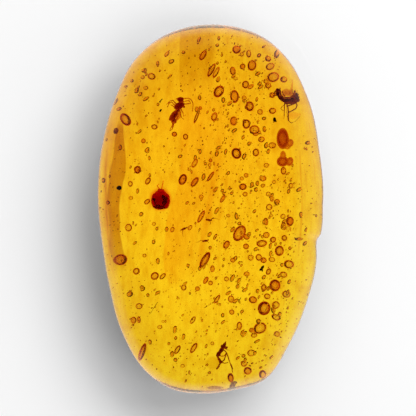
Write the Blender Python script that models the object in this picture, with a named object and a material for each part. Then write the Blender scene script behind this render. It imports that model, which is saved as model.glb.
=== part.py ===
"""Insects sealed in a polished amber pebble.

The pebble lies on its flat base with +Z up and its length along Y. The origin is the middle of
the base. The clear resin is parted at one level plane, which crosses the pocket of each sealed
specimen. Sizes are in millimetres and turned to metres by MM.
"""
import math
from functools import partial

import bmesh
import bpy
from mathutils import Matrix, Vector

MM = 0.001

# Driving dimensions of the pebble.
PEBBLE_HEIGHT = 11.0
GIRDLE_HEIGHT = 4.2       # level of the widest outline
BASE_SHARE = 0.78         # flat base, as a share of the outline
DOME_FULLNESS = 3.0       # 2 is an ellipsoid, and more gives a flatter top
PARTING_HEIGHT = 5.2
PARTING_GAP = 0.3
MIDGE_FACETS = (6, 4)     # segments and rings of the smallest ellipsoids

# The outline from above, anticlockwise from +X. The last three points are the small ledge where
# a thin outer skin of the pebble has broken away on the right.
OUTLINE = [
    (12.2, 0.8), (11.8, 6.3), (10.6, 11.9), (8.4, 16.2), (5.2, 18.9), (0.2, 20.0),
    (-4.6, 19.0), (-8.1, 16.3), (-10.4, 11.8), (-11.7, 7.1), (-12.2, 2.0), (-11.8, -3.4),
    (-11.0, -8.3), (-9.7, -13.1), (-7.2, -17.4), (-4.2, -19.5), (-0.9, -20.0), (2.6, -19.6),
    (6.0, -18.4), (8.6, -14.5), (10.5, -9.9), (11.5, -5.4), (11.5, -3.5), (11.95, -2.7),
]
COLUMNS_PER_POINT = 2
RINGS = 16
BASE_LATITUDE = math.radians(60)   # the ring of the sphere that becomes the edge of the base

# Large gas bubbles that the parting plane crosses: x, y, half width, half length, lean in degrees.
BUBBLES = [
    (5.2, -10.4, 0.52, 0.72, -20), (3.0, -2.6, 0.58, 0.90, -30), (6.2, -8.0, 0.52, 0.62, 0),
    (-0.6, -5.4, 0.36, 0.95, -32), (0.2, 14.2, 0.45, 0.80, -28), (0.8, 12.3, 0.42, 0.66, -35),
    (4.9, -12.5, 0.38, 0.56, -20), (-8.8, -5.3, 0.38, 0.60, 5), (2.7, 5.9, 0.45, 0.56, 15),
    (-2.9, 3.1, 0.38, 0.62, -25),
]

AMBER = (0.93, 0.52, 0.02)
CHITIN_BLACK = (0.035, 0.014, 0.008)
CHITIN_BROWN = (0.12, 0.03, 0.01)
RUBY_RED = (0.22, 0.0, 0.0)
RESIN_BROWN = (0.35, 0.08, 0.01)
BARK_PURPLE = (0.10, 0.045, 0.03)
LEAF_OLIVE = (0.30, 0.20, 0.02)


def clear_scene():
    """Start from an empty file, however this script is run."""
    for obj in list(bpy.data.objects):
        bpy.data.objects.remove(obj, do_unlink=True)
    for group in list(bpy.data.collections):
        bpy.data.collections.remove(group)


def new_group(name):
    """A collection of the scene."""
    group = bpy.data.collections.new(name)
    bpy.context.scene.collection.children.link(group)
    return group


def finish(name, color, roughness, alpha=1.0):
    """A plain Principled material."""
    material = bpy.data.materials.new(name)
    material.use_nodes = True
    shader = material.node_tree.nodes["Principled BSDF"]
    shader.inputs["Base Color"].default_value = (*color, 1.0)
    shader.inputs["Roughness"].default_value = roughness
    shader.inputs["Metallic"].default_value = 0.0
    shader.inputs["Alpha"].default_value = alpha
    material.diffuse_color = (*color, alpha)
    return material


def keep(obj, group, material=None):
    """Put an object in its collection and give it its material."""
    group.objects.link(obj)
    if material:
        obj.data.materials.clear()
        obj.data.materials.append(material)
    return obj


def mesh_object(name, bm):
    """A smooth object from a finished bmesh."""
    bmesh.ops.recalc_face_normals(bm, faces=bm.faces)
    mesh = bpy.data.meshes.new(name)
    bm.to_mesh(mesh)
    bm.free()
    mesh.shade_smooth()
    mesh.set_sharp_from_angle(angle=math.radians(40))
    return bpy.data.objects.new(name, mesh)


def evaluated_mesh(obj):
    """The object's mesh after its modifiers or its bevel."""
    bpy.context.view_layer.update()
    graph = bpy.context.evaluated_depsgraph_get()
    return bpy.data.meshes.new_from_object(obj.evaluated_get(graph))


# ---------------------------------------------------------------- the pebble

def outline_azimuths():
    """The outline points' directions from the middle, always rising."""
    azimuths = []
    for x, y in OUTLINE:
        azimuth = math.atan2(y, x)
        while azimuths and azimuth < azimuths[-1]:
            azimuth += math.tau
        azimuths.append(azimuth)
    return azimuths


def outline_at(place):
    """Azimuth and reach of the outline at a place counted in outline points, by a smooth curve."""
    azimuths = outline_azimuths()
    count = len(OUTLINE)

    def point(index):
        turn, wrapped = divmod(index, count)
        return azimuths[wrapped] + turn * math.tau, math.hypot(*OUTLINE[wrapped])

    start = math.floor(place)
    (a0, r0), (a1, r1), (a2, r2), (a3, r3) = (point(start + step) for step in (-1, 0, 1, 2))
    share = place - start
    span = a2 - a1
    slope_in = (r2 - r0) / (a2 - a0) * span
    slope_out = (r3 - r1) / (a3 - a1) * span
    reach = ((2 * share**3 - 3 * share**2 + 1) * r1 + (share**3 - 2 * share**2 + share) * slope_in
             + (3 * share**2 - 2 * share**3) * r2 + (share**3 - share**2) * slope_out)
    return a1 + share * span, reach


def profile_at(latitude):
    """Share of the outline's reach, and height, at a latitude of the starting sphere."""
    if latitude >= 0:
        share = math.cos(latitude) ** (2 / DOME_FULLNESS)
        return share, GIRDLE_HEIGHT + (PEBBLE_HEIGHT - GIRDLE_HEIGHT) * math.sin(latitude)
    if -latitude <= BASE_LATITUDE:
        roll = -latitude / BASE_LATITUDE * math.pi / 2
        return (1 - (1 - BASE_SHARE) * (1 - math.cos(roll)), GIRDLE_HEIGHT * (1 - math.sin(roll)))
    to_pole = (math.pi / 2 + latitude) / (math.pi / 2 - BASE_LATITUDE)
    return BASE_SHARE * to_pole, 0.0


def pebble(name):
    """A sphere drawn out to the pebble's outline and profile, with a flat base at Z 0."""
    columns = len(OUTLINE) * COLUMNS_PER_POINT
    bm = bmesh.new()
    bmesh.ops.create_uvsphere(bm, u_segments=columns, v_segments=RINGS, radius=1.0)
    for vert in bm.verts:
        column = math.atan2(vert.co.y, vert.co.x) / math.tau * columns
        latitude = math.asin(max(-1.0, min(1.0, vert.co.z)))
        if -latitude > BASE_LATITUDE - math.pi / RINGS / 2 and -latitude < BASE_LATITUDE:
            latitude = -BASE_LATITUDE
        azimuth, reach = outline_at(round(column) / COLUMNS_PER_POINT)
        share, height = profile_at(latitude)
        vert.co = Vector((math.cos(azimuth) * reach * share, math.sin(azimuth) * reach * share, height)) * MM
    base = [face for face in bm.faces if max(vert.co.z for vert in face.verts) < 0.001 * MM]
    bmesh.ops.dissolve_faces(bm, faces=base)
    return mesh_object(name, bm)


def block(name, low, high):
    """A box cutter that reaches past the pebble on all sides, between two heights."""
    bm = bmesh.new()
    bmesh.ops.create_cube(bm, size=1.0)
    size = Matrix.Diagonal((60 * MM, 60 * MM, (high - low) * MM, 1.0))
    bmesh.ops.transform(bm, matrix=Matrix.Translation((0, 0, (low + high) / 2 * MM)) @ size, verts=bm.verts)
    return mesh_object(name, bm)


def hollow(name, x, y, half_width, half_length, half_height, lean=0.0, facets=(10, 6)):
    """An egg-shaped cutter whose middle lies on the parting plane."""
    shape = ball((x, y, PARTING_HEIGHT), (half_width, half_length, half_height), lean, facets)
    shape.name = name
    return shape


def cut(obj, cutter):
    """Take a cutter, or every cutter of a collection, away from an object."""
    difference = obj.modifiers.new("cut", "BOOLEAN")
    difference.operation = "DIFFERENCE"
    difference.solver = "EXACT"
    if isinstance(cutter, bpy.types.Collection):
        difference.operand_type = "COLLECTION"
        difference.collection = cutter
    else:
        difference.object = cutter


# ---------------------------------------------------------------- pieces of an insect

def ball(centre, radii, lean=0.0, facets=(8, 5)):
    """An ellipsoid, leaning by some degrees about Z. Its poles are on its own Y axis."""
    bm = bmesh.new()
    bmesh.ops.create_uvsphere(bm, u_segments=facets[0], v_segments=facets[1], radius=1.0)
    place = (Matrix.Translation(Vector(centre) * MM) @ Matrix.Rotation(math.radians(lean), 4, "Z")
             @ Matrix.Diagonal((*(Vector(radii) * MM), 1.0)) @ Matrix.Rotation(math.pi / 2, 4, "X"))
    bmesh.ops.transform(bm, matrix=place, verts=bm.verts)
    return mesh_object("ball", bm)


def limb(points, root=0.07, tip=0.045):
    """A leg or feeler: a thin tapered tube along its joints."""
    curve = bpy.data.curves.new("limb", "CURVE")
    curve.dimensions = "3D"
    curve.bevel_depth = MM
    curve.bevel_resolution = 0
    curve.use_fill_caps = True
    spline = curve.splines.new("POLY")
    spline.points.add(len(points) - 1)
    for order, (dot, point) in enumerate(zip(spline.points, points)):
        dot.co = (*(Vector(point) * MM), 1.0)
        dot.radius = root + (tip - root) * order / (len(points) - 1)
    tube = bpy.data.objects.new("limb", curve)
    bpy.context.scene.collection.objects.link(tube)
    bm = bmesh.new()
    bm.from_mesh(evaluated_mesh(tube))
    bpy.data.objects.remove(tube, do_unlink=True)
    bmesh.ops.remove_doubles(bm, verts=bm.verts, dist=0.001 * MM)
    return mesh_object("limb", bm)


def specimen(name, pieces, place, group, material, turn=0.0):
    """Join overlapping pieces in one closed body, and lay it at its place in the resin."""
    operands = new_group(name + "_pieces")
    for piece in pieces:
        operands.objects.link(piece)
    body = pieces[0]
    operands.objects.unlink(body)
    bpy.context.scene.collection.objects.link(body)
    if len(pieces) > 1:
        union = body.modifiers.new("join", "BOOLEAN")
        union.operation = "UNION"
        union.solver = "EXACT"
        union.operand_type = "COLLECTION"
        union.collection = operands
    mesh = evaluated_mesh(body)
    for piece in pieces:
        bpy.data.objects.remove(piece, do_unlink=True)
    bpy.data.collections.remove(operands)
    mesh.name = name
    joined = bpy.data.objects.new(name, mesh)
    joined.location = Vector(place) * MM
    joined.rotation_euler = (0.0, 0.0, math.radians(turn))
    return keep(joined, group, material)


# ---------------------------------------------------------------- the sealed specimens

def winged_gnat():
    """Gnat seen from above: head up, abdomen to the lower left, wings folded back."""
    return [
        ball((0.15, 0.40, 0.05), (0.56, 0.38, 0.38), 25, (10, 6)),        # thorax
        ball((0.26, 1.02, 0.02), (0.32, 0.25, 0.24)),                     # head
        limb([(0.25, 0.9, 0.0), (0.2, 0.6, 0.05)], 0.13, 0.15),           # neck
        limb([(0.15, 1.05, -0.05), (-0.18, 1.08, -0.15)], 0.10, 0.05),    # mouthparts
        ball((0.00, 0.00, 0.02), (0.26, 0.32, 0.25), -35),                # waist
        ball((-0.42, -0.62, -0.02), (0.29, 0.66, 0.27), -38, (10, 6)),    # abdomen
        ball((-0.42, -1.10, -0.02), (0.18, 0.34, 0.16), -30),             # tail lobe
        ball((0.16, -0.48, 0.20), (0.19, 0.74, 0.045), -12, (10, 6)),     # right wing
        ball((-0.16, -0.54, 0.22), (0.25, 0.88, 0.045), -32, (10, 6)),    # left wing
        limb([(0.3, 1.0, 0.1), (0.75, 1.10, 0.15), (1.2, 1.12, 0.1), (1.53, 0.80, 0.0),
              (1.53, 0.20, -0.1), (1.53, -0.60, -0.1)]),
        limb([(0.4, 0.5, 0.0), (0.8, 0.56, 0.05), (1.33, 0.62, 0.0), (1.2, 0.88, -0.1)]),
        limb([(0.0, 0.5, 0.0), (-0.4, 0.6, 0.1), (-0.8, 0.86, 0.1), (-1.15, 0.46, -0.1)]),
        limb([(-0.1, 0.3, 0.0), (-0.5, 0.4, 0.0), (-0.86, 0.62, 0.0), (-1.05, 0.15, -0.1)]),
        limb([(-0.42, -1.10, 0.0), (-0.48, -1.75, 0.0), (-0.6, -2.3, 0.0)], 0.06, 0.04),
        limb([(0.22, 0.25, -0.1), (0.48, -0.35, -0.25), (0.3, -0.95, -0.25)]),
    ]


def curled_gnat():
    """Crumpled dark fly, curled like a cup round its own wings, with its legs hanging down."""
    return [
        ball((-0.45, -0.20, 0.0), (0.42, 0.30, 0.32), -28, (10, 6)),
        ball((-0.82, 0.20, 0.0), (0.26, 0.40, 0.28), 15),
        ball((-0.95, 0.62, 0.0), (0.19, 0.26, 0.22), 5),
        ball((0.12, -0.14, 0.0), (0.46, 0.27, 0.32), 8, (10, 6)),
        ball((0.68, 0.04, 0.0), (0.42, 0.27, 0.30), 25),
        ball((1.00, 0.28, 0.0), (0.20, 0.34, 0.22), -15),
        ball((0.18, -0.50, -0.05), (0.62, 0.20, 0.24), -8, (10, 6)),
        ball((0.86, -0.38, -0.05), (0.20, 0.34, 0.22), 20),
        ball((-0.10, 0.38, 0.10), (0.62, 0.40, 0.06), 6, (10, 6)),        # crumpled wing
        ball((0.42, 0.52, 0.0), (0.16, 0.46, 0.07), -20),                 # wing fold
        limb([(0.45, 0.2, 0.0), (0.48, 0.6, 0.05), (0.40, 0.93, 0.1)], 0.09, 0.05),
        limb([(0.70, 0.1, 0.0), (0.78, 0.45, 0.05), (0.86, 0.76, 0.1)], 0.09, 0.05),
        limb([(0.40, 0.80, 0.1), (0.36, 1.35, 0.1), (0.46, 1.95, 0.0)], 0.06, 0.04),
        limb([(-0.40, -0.40, 0.0), (-0.42, -0.90, -0.1), (-0.38, -2.05, -0.1)], 0.08, 0.045),
        limb([(-0.10, -0.50, 0.0), (-0.10, -1.40, 0.0), (0.10, -1.38, 0.0), (0.62, -1.0, 0.0),
              (0.74, -0.6, 0.0)], 0.08, 0.06),
        limb([(-0.08, -1.2, 0.0), (0.0, -1.6, 0.0), (0.05, -2.3, 0.0)], 0.06, 0.04),
    ]


def red_beetle():
    """Round beetle with closed wing cases, a narrow collar, tucked legs and two feelers."""
    pieces = [
        ball((0.0, -0.08, 0.0), (0.86, 0.96, 0.58), 0, (12, 8)),
        ball((0.02, 0.74, -0.04), (0.52, 0.32, 0.40), 0, (10, 6)),
        ball((0.04, 0.98, -0.08), (0.30, 0.22, 0.26), 0),
        limb([(0.10, 1.05, 0.0), (0.15, 1.5, 0.05), (0.24, 2.05, 0.1)], 0.06, 0.05),
        limb([(0.0, 1.05, 0.0), (-0.30, 1.45, 0.05), (-0.12, 1.72, 0.05)], 0.06, 0.05),
    ]
    for side in (-1, 1):
        for along in (0.50, 0.0, -0.50):
            pieces.append(limb([(side * 0.35, along * 0.8, -0.15), (side * 0.96, along + 0.10, -0.25),
                                (side * 0.99, along - 0.15, -0.38)], 0.10, 0.06))
    return pieces


def slender_wasp():
    """Narrow ant-like wasp: abdomen up, bent neck, head below, and long legs on the right."""
    return [
        ball((-0.10, 0.38, 0.0), (0.20, 0.50, 0.20), -34, (10, 6)),
        ball((0.38, 0.95, 0.0), (0.20, 0.52, 0.20), -30, (10, 6)),
        ball((0.12, 0.90, 0.05), (0.17, 0.20, 0.14), 0),
        ball((0.56, 0.74, 0.0), (0.18, 0.20, 0.14), 30),
        limb([(-0.32, 0.10, 0.0), (-0.40, -0.06, 0.0), (-0.05, -0.46, 0.0), (-0.04, -0.62, 0.0)], 0.11, 0.09),
        ball((-0.05, -0.66, 0.0), (0.20, 0.17, 0.17), 0),
        limb([(-0.10, -0.78, 0.0), (-0.20, -1.02, 0.0), (-0.48, -1.40, 0.0)], 0.07, 0.10),
        limb([(0.05, -0.70, 0.0), (0.30, -0.72, 0.0), (0.72, -0.62, 0.05)], 0.06, 0.04),
        limb([(0.05, 0.40, 0.0), (0.56, 0.28, 0.1), (0.40, -0.10, 0.1), (0.24, -0.50, 0.05)]),
        limb([(0.10, 0.55, -0.05), (0.64, 0.22, -0.1), (0.90, -0.72, -0.1), (0.98, -1.03, 0.0),
              (1.13, -1.45, 0.0), (1.10, -1.75, 0.0)]),
        limb([(-0.20, 0.15, 0.0), (0.10, 0.08, 0.1), (0.33, 0.05, 0.1)]),
        limb([(-0.25, 0.45, 0.0), (-0.50, 0.40, -0.1), (-0.62, 0.0, -0.1)], 0.06, 0.04),
    ]


def midge(legs):
    """Tiny midge: two body segments, a head, a wing and the given thread-like legs."""
    return [
        ball((0.0, 0.0, 0.0), (0.24, 0.15, 0.15), 0, MIDGE_FACETS),
        ball((0.22, 0.03, 0.0), (0.13, 0.12, 0.12), 0, MIDGE_FACETS),
        ball((-0.24, -0.03, 0.0), (0.20, 0.11, 0.11), 0, MIDGE_FACETS),
        ball((-0.10, 0.05, 0.12), (0.34, 0.12, 0.035), 8, MIDGE_FACETS),
    ] + [limb(points, 0.05, 0.035) for points in legs]


def brown_drop_tall():
    """Tall drop of darker matter with a small lobe on its right."""
    return [
        ball((0.0, 0.0, 0.0), (0.57, 1.02, 0.50), 0, (12, 8)),
        ball((0.66, -0.52, 0.0), (0.29, 0.45, 0.30), -8),
    ]


def brown_drop_round():
    """Pear-shaped drop with a lobe on its right."""
    return [
        ball((0.0, -0.22, 0.0), (0.50, 0.52, 0.45), 0, (12, 8)),
        ball((0.0, 0.28, 0.0), (0.24, 0.40, 0.22), 0),
        ball((0.58, -0.16, 0.0), (0.30, 0.48, 0.32), -10),
    ]


def bark_flake():
    """Chip of bark: a thick body with a bar across its top."""
    return [
        ball((0.0, -0.10, 0.0), (0.32, 0.42, 0.24), -15),
        ball((0.12, 0.34, 0.05), (0.36, 0.14, 0.18), 6),
    ]


def grain(half_width, half_length, half_height):
    """One small dark grain or sliver."""
    return [ball((0.0, 0.0, 0.0), (half_width, half_length, half_height), 0, MIDGE_FACETS)]


MIDGE_LEFT_LEGS = [
    [(0.0, 0.0, 0.0), (-0.30, -0.28, 0.0), (-0.44, -0.72, 0.0)],
    [(0.1, 0.0, 0.0), (0.40, 0.22, 0.05), (0.62, 0.18, 0.0)],
]
MIDGE_MIDDLE_LEGS = [
    [(0.1, 0.0, 0.0), (0.30, 0.28, 0.0), (0.62, 0.34, 0.0), (1.08, 0.26, 0.0)],
    [(0.0, 0.0, 0.0), (0.24, -0.26, 0.0), (0.20, -0.52, 0.0)],
]
MIDGE_LOWER_LEGS = [
    [(-0.2, 0.0, 0.0), (-0.55, 0.10, 0.0), (-1.05, -0.12, 0.0)],
    [(0.1, 0.0, 0.0), (0.30, -0.22, 0.0)],
]

# Name, maker, finish, place, turn in degrees, and the pocket: its middle and its three half sizes.
SPECIMENS = [
    ("winged_gnat", winged_gnat, "chitin_brown", (-3.3, 10.4, 5.25), 0, (-3.1, 9.9), (2.15, 2.65, 1.15)),
    ("curled_gnat", curled_gnat, "chitin_black", (7.6, 11.6, 5.15), 0, (7.6, 11.5), (1.75, 2.95, 1.1)),
    ("red_beetle", red_beetle, "ruby_red", (-5.05, 1.0, 5.25), 0, (-5.05, 1.3), (1.5, 2.0, 1.1)),
    ("slender_wasp", slender_wasp, "chitin_brown", (1.05, -15.2, 5.2), 0, (1.3, -15.3), (1.6, 2.3, 0.95)),
    ("midge_left", partial(midge, MIDGE_LEFT_LEGS), "chitin_black",
     (-2.7, -2.1, 5.1), 20, (-2.65, -2.2), (1.1, 1.15, 0.75)),
    ("midge_middle", partial(midge, MIDGE_MIDDLE_LEGS), "chitin_black",
     (-0.15, -1.2, 5.3), -10, (0.1, -1.2), (1.35, 1.0, 0.75)),
    ("midge_lower", partial(midge, MIDGE_LOWER_LEGS), "chitin_black",
     (-0.5, -3.4, 5.0), 5, (-0.75, -3.4), (1.25, 0.85, 0.75)),
    ("brown_drop_tall", brown_drop_tall, "resin_brown", (7.1, 7.45, 5.3), 0, (7.3, 7.4), (1.3, 1.75, 1.05)),
    ("brown_drop_round", brown_drop_round, "resin_brown", (7.1, 5.2, 5.1), 0, (7.3, 5.15), (1.3, 1.3, 1.0)),
    ("bark_flake", bark_flake, "bark_purple", (2.5, -18.2, 5.0), 0, (2.55, -18.1), (0.85, 0.95, 0.75)),
    ("leaf_scale", partial(grain, 0.90, 0.24, 0.14), "leaf_olive",
     (0.35, -18.5, 5.1), -3, (0.35, -18.5), (1.35, 0.65, 0.6)),
    ("grain_left", partial(grain, 0.26, 0.20, 0.18), "chitin_black",
     (-8.9, 2.25, 5.2), 20, (-8.9, 2.25), (0.65, 0.6, 0.6)),
    ("grain_right", partial(grain, 0.14, 0.24, 0.15), "chitin_black",
     (6.3, 9.35, 5.2), 0, (6.3, 9.35), (0.55, 0.65, 0.55)),
    ("grain_middle", partial(grain, 0.20, 0.16, 0.15), "chitin_black",
     (4.2, 8.1, 5.2), 30, (4.2, 8.1), (0.6, 0.55, 0.55)),
    ("grain_edge", partial(grain, 0.28, 0.33, 0.24), "bark_purple",
     (-9.3, 8.2, 5.2), 0, (-9.3, 8.2), (0.7, 0.75, 0.65)),
    ("grain_low", partial(grain, 0.12, 0.36, 0.12), "chitin_black",
     (5.1, -6.2, 5.2), -35, (5.1, -6.2), (0.65, 0.8, 0.55)),
]


def build():
    """Make the two halves of the pebble and every specimen in its pocket."""
    parts = new_group("insect_in_amber")
    cutters = new_group("cutters")
    pockets = bpy.data.collections.new("pockets")
    cutters.children.link(pockets)

    finishes = {
        "amber": finish("amber", AMBER, 0.08, 0.45),
        "chitin_black": finish("chitin_black", CHITIN_BLACK, 0.4),
        "chitin_brown": finish("chitin_brown", CHITIN_BROWN, 0.4),
        "ruby_red": finish("ruby_red", RUBY_RED, 0.35),
        "resin_brown": finish("resin_brown", RESIN_BROWN, 0.2),
        "bark_purple": finish("bark_purple", BARK_PURPLE, 0.8),
        "leaf_olive": finish("leaf_olive", LEAF_OLIVE, 0.7),
    }

    for name, make, slot, place, turn, middle, half_sizes in SPECIMENS:
        specimen(name, make(), place, parts, finishes[slot], turn)
        keep(hollow(name + "_pocket", *middle, *half_sizes), pockets)
    for order, (x, y, half_width, half_length, lean) in enumerate(BUBBLES, 1):
        half_height = (half_width + half_length) / 2
        keep(hollow(f"bubble_{order}", x, y, half_width, half_length, half_height, lean, (8, 4)), pockets)

    below = keep(block("below_parting", -5.0, PARTING_HEIGHT + PARTING_GAP / 2), cutters)
    above = keep(block("above_parting", PARTING_HEIGHT - PARTING_GAP / 2, PEBBLE_HEIGHT + 5.0), cutters)
    for name, waste in (("amber_upper", below), ("amber_lower", above)):
        half = keep(pebble(name), parts, finishes["amber"])
        cut(half, waste)
        cut(half, pockets)

    for cutter in list(cutters.objects) + list(pockets.objects):
        cutter.hide_render = True
        cutter.display_type = "WIRE"


clear_scene()
build()
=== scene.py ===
"""Insects in amber: the looks of a polished amber pebble that lies on its flat base."""
import math
import random

import bmesh
import bpy
from mathutils import Matrix, Vector, noise


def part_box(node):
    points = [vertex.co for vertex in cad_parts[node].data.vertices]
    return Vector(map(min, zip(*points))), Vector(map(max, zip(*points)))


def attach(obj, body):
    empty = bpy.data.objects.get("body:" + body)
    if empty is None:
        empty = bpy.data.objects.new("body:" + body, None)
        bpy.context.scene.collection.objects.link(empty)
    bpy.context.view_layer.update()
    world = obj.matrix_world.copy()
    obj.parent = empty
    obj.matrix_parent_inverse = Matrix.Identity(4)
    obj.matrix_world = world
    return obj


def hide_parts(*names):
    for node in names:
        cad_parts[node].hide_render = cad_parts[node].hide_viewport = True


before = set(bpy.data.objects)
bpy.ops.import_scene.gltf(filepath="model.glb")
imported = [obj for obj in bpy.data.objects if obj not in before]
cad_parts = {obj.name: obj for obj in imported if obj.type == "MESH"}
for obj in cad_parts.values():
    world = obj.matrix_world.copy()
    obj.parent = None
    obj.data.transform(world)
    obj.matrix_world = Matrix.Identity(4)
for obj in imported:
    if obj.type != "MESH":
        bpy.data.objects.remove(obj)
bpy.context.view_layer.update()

# ------------------------------------------------------------------ amber pebble
# One lump of fossil resin, cut and tumble polished to a flat-based pebble. Its sizes are in mm,
# and its height comes from the frame. It is one clear piece, where the frame has two halves.

MM = 0.001
PEBBLE_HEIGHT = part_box("amber_upper")[1].z / MM
GIRDLE_HEIGHT = 4.2        # level of the widest outline
BASE_SHARE = 0.78          # flat base, as a share of the outline
DOME_FULLNESS = 3.0        # 2 is an ellipsoid, and more gives a flatter top
BASE_LATITUDE = math.radians(60)
PEBBLE_COLUMNS = 8         # columns of faces to each outline point
PEBBLE_RINGS = 72

# The outline from above, anticlockwise from +X. The last three points are the small ledge where
# a thin outer skin has broken away.
OUTLINE = [
    (12.2, 0.8), (11.8, 6.3), (10.6, 11.9), (8.4, 16.2), (5.2, 18.9), (0.2, 20),
    (-4.6, 19), (-8.1, 16.3), (-10.4, 11.8), (-11.7, 7.1), (-12.2, 2), (-11.8, -3.4),
    (-11, -8.3), (-9.7, -13.1), (-7.2, -17.4), (-4.2, -19.5), (-0.9, -20), (2.6, -19.6),
    (6, -18.4), (8.6, -14.5), (10.5, -9.9), (11.5, -5.4), (11.5, -3.5), (11.95, -2.7),
]

azimuths = []
for x, y in OUTLINE:
    azimuth = math.atan2(y, x)
    while azimuths and azimuth < azimuths[-1]:
        azimuth += math.tau
    azimuths.append(azimuth)


def outline_at(place):
    """Azimuth and reach of the outline at a place counted in outline points."""
    def point(index):
        turn, wrapped = divmod(index, len(OUTLINE))
        return azimuths[wrapped] + turn * math.tau, math.hypot(*OUTLINE[wrapped])

    start = math.floor(place)
    (a0, r0), (a1, r1), (a2, r2), (a3, r3) = (point(start + step) for step in (-1, 0, 1, 2))
    share = place - start
    span = a2 - a1
    slope_in = (r2 - r0) / (a2 - a0) * span
    slope_out = (r3 - r1) / (a3 - a1) * span
    reach = ((2 * share**3 - 3 * share**2 + 1) * r1 + (share**3 - 2 * share**2 + share) * slope_in
             + (3 * share**2 - 2 * share**3) * r2 + (share**3 - share**2) * slope_out)
    return a1 + share * span, reach


def profile_at(latitude):
    """Share of the outline's reach, and height, at a latitude of the starting sphere."""
    if latitude >= 0:
        share = math.cos(latitude) ** (2 / DOME_FULLNESS)
        return share, GIRDLE_HEIGHT + (PEBBLE_HEIGHT - GIRDLE_HEIGHT) * math.sin(latitude)
    if -latitude <= BASE_LATITUDE:
        roll = -latitude / BASE_LATITUDE * math.pi / 2
        return 1 - (1 - BASE_SHARE) * (1 - math.cos(roll)), GIRDLE_HEIGHT * (1 - math.sin(roll))
    to_pole = (math.pi / 2 + latitude) / (math.pi / 2 - BASE_LATITUDE)
    return BASE_SHARE * to_pole, 0.0


def link(name, data):
    """A new object at the origin, for a mesh or another kind of data."""
    obj = bpy.data.objects.new(name, data)
    bpy.context.scene.collection.objects.link(obj)
    return obj


def mesh_from(name, bm):
    """A smooth mesh from a finished bmesh, with its faces turned outwards."""
    bmesh.ops.recalc_face_normals(bm, faces=bm.faces)
    mesh = bpy.data.meshes.new(name)
    bm.to_mesh(mesh)
    bm.free()
    mesh.shade_smooth()
    return mesh


def polished_pebble():
    """A sphere drawn out to the pebble's outline and profile."""
    columns = len(OUTLINE) * PEBBLE_COLUMNS
    bm = bmesh.new()
    bmesh.ops.create_uvsphere(bm, u_segments=columns, v_segments=PEBBLE_RINGS, radius=1.0)
    for vert in bm.verts:
        column = math.atan2(vert.co.y, vert.co.x) / math.tau * columns
        azimuth, reach = outline_at(round(column) / PEBBLE_COLUMNS)
        share, height = profile_at(math.asin(max(-1.0, min(1.0, vert.co.z))))
        flat = Vector((math.cos(azimuth), math.sin(azimuth), 0.0)) * reach * share
        vert.co = (flat + Vector((0.0, 0.0, height))) * MM
    return mesh_from("amber_pebble", bm)


def srgb(code):
    """Linear colour, with alpha, of an sRGB hex code."""
    parts = [int(code[place:place + 2], 16) / 255 for place in (0, 2, 4)]
    return (*(part / 12.92 if part <= 0.04045 else ((part + 0.055) / 1.055) ** 2.4 for part in parts), 1.0)


def plug(tree, value, socket):
    """Feed an input. A node gives its first live output, a socket is linked, and a value is set."""
    if isinstance(value, bpy.types.Node):
        value = next(output for output in value.outputs if output.enabled)
    if isinstance(value, bpy.types.NodeSocket):
        tree.links.new(value, socket)
    else:
        socket.default_value = value


def add_node(tree, kind, inputs=(), **settings):
    """Add a node. Its settings are its properties, and its inputs are fed by name."""
    made = tree.nodes.new(kind)
    for key, value in settings.items():
        setattr(made, key, value)
    for name, value in dict(inputs).items():
        plug(tree, value, next(socket for socket in made.inputs if socket.name == name and socket.enabled))
    return made


def new_material(name, **values):
    """A Principled material, its node tree and its shader. A value's name is its socket's."""
    material = bpy.data.materials.new(name)
    material.use_nodes = True
    shader = material.node_tree.nodes["Principled BSDF"]
    for socket, value in values.items():
        shader.inputs[socket.replace("_", " ")].default_value = value
    return material, material.node_tree, shader


def absorb(tree, color, density):
    """Fill a see-through body with colour that deepens with its thickness, per metre."""
    volume = add_node(tree, "ShaderNodeVolumeAbsorption", {"Color": (*color, 1.0), "Density": density})
    plug(tree, volume, tree.nodes["Material Output"].inputs["Volume"])


def own_place(tree):
    """A piece's own coordinates, in metres."""
    return add_node(tree, "ShaderNodeTexCoord").outputs["Object"]


def stretched(tree, place, *scale):
    """A place whose pattern is drawn out: the smaller the scale, the longer it is that way."""
    return add_node(tree, "ShaderNodeMapping", {"Vector": place, "Scale": scale})


def mottle(tree, place, width, detail):
    """A soft random pattern that is about a width in mm across."""
    return add_node(tree, "ShaderNodeTexNoise", {
        "Vector": place, "Scale": 1 / (width * MM), "Detail": detail})


def mixed(tree, factor, start, end, blend="MIX"):
    """A mix of two colours, each a hex code or a node."""
    start, end = (srgb(color) if isinstance(color, str) else color for color in (start, end))
    return add_node(tree, "ShaderNodeMix", {"Factor": factor, "A": start, "B": end},
                    data_type="RGBA", blend_type=blend)


# Baltic amber, tumble polished: glassy, honey yellow where thin and orange where thick. It ran down
# the bark in several flows. Three of them, top, middle and left, set a deeper colour with one
# sharp edge, and the others are faint. Some bands are painted light and shade: the left band and
# its two neighbours are partly painted shade of the left flank, the left corners are painted shade,
# and the right edge band is left paler as a painted reflection.
AMBER_IOR = 1.54
CLOUD_WIDTH = 3.2          # mm, of the faint clouds between the flows
WISP_WIDTH = 0.7           # mm, of the finer wisps in them
LENGTHWISE = (-14.0, 12.0)     # from where to where the resin deepens along its length
FIELD_REACH = 14.0         # mm from the middle to the edge of the ramps that hold the flows' edges
EDGE_POINTS = 4            # points of those ramps to each station
WANDER = 0.35              # mm that a flow's edge wanders by
DOME_EDGE = (-0.6, 0.2)    # levels, from the girdle, between which the dome's colours set in

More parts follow.
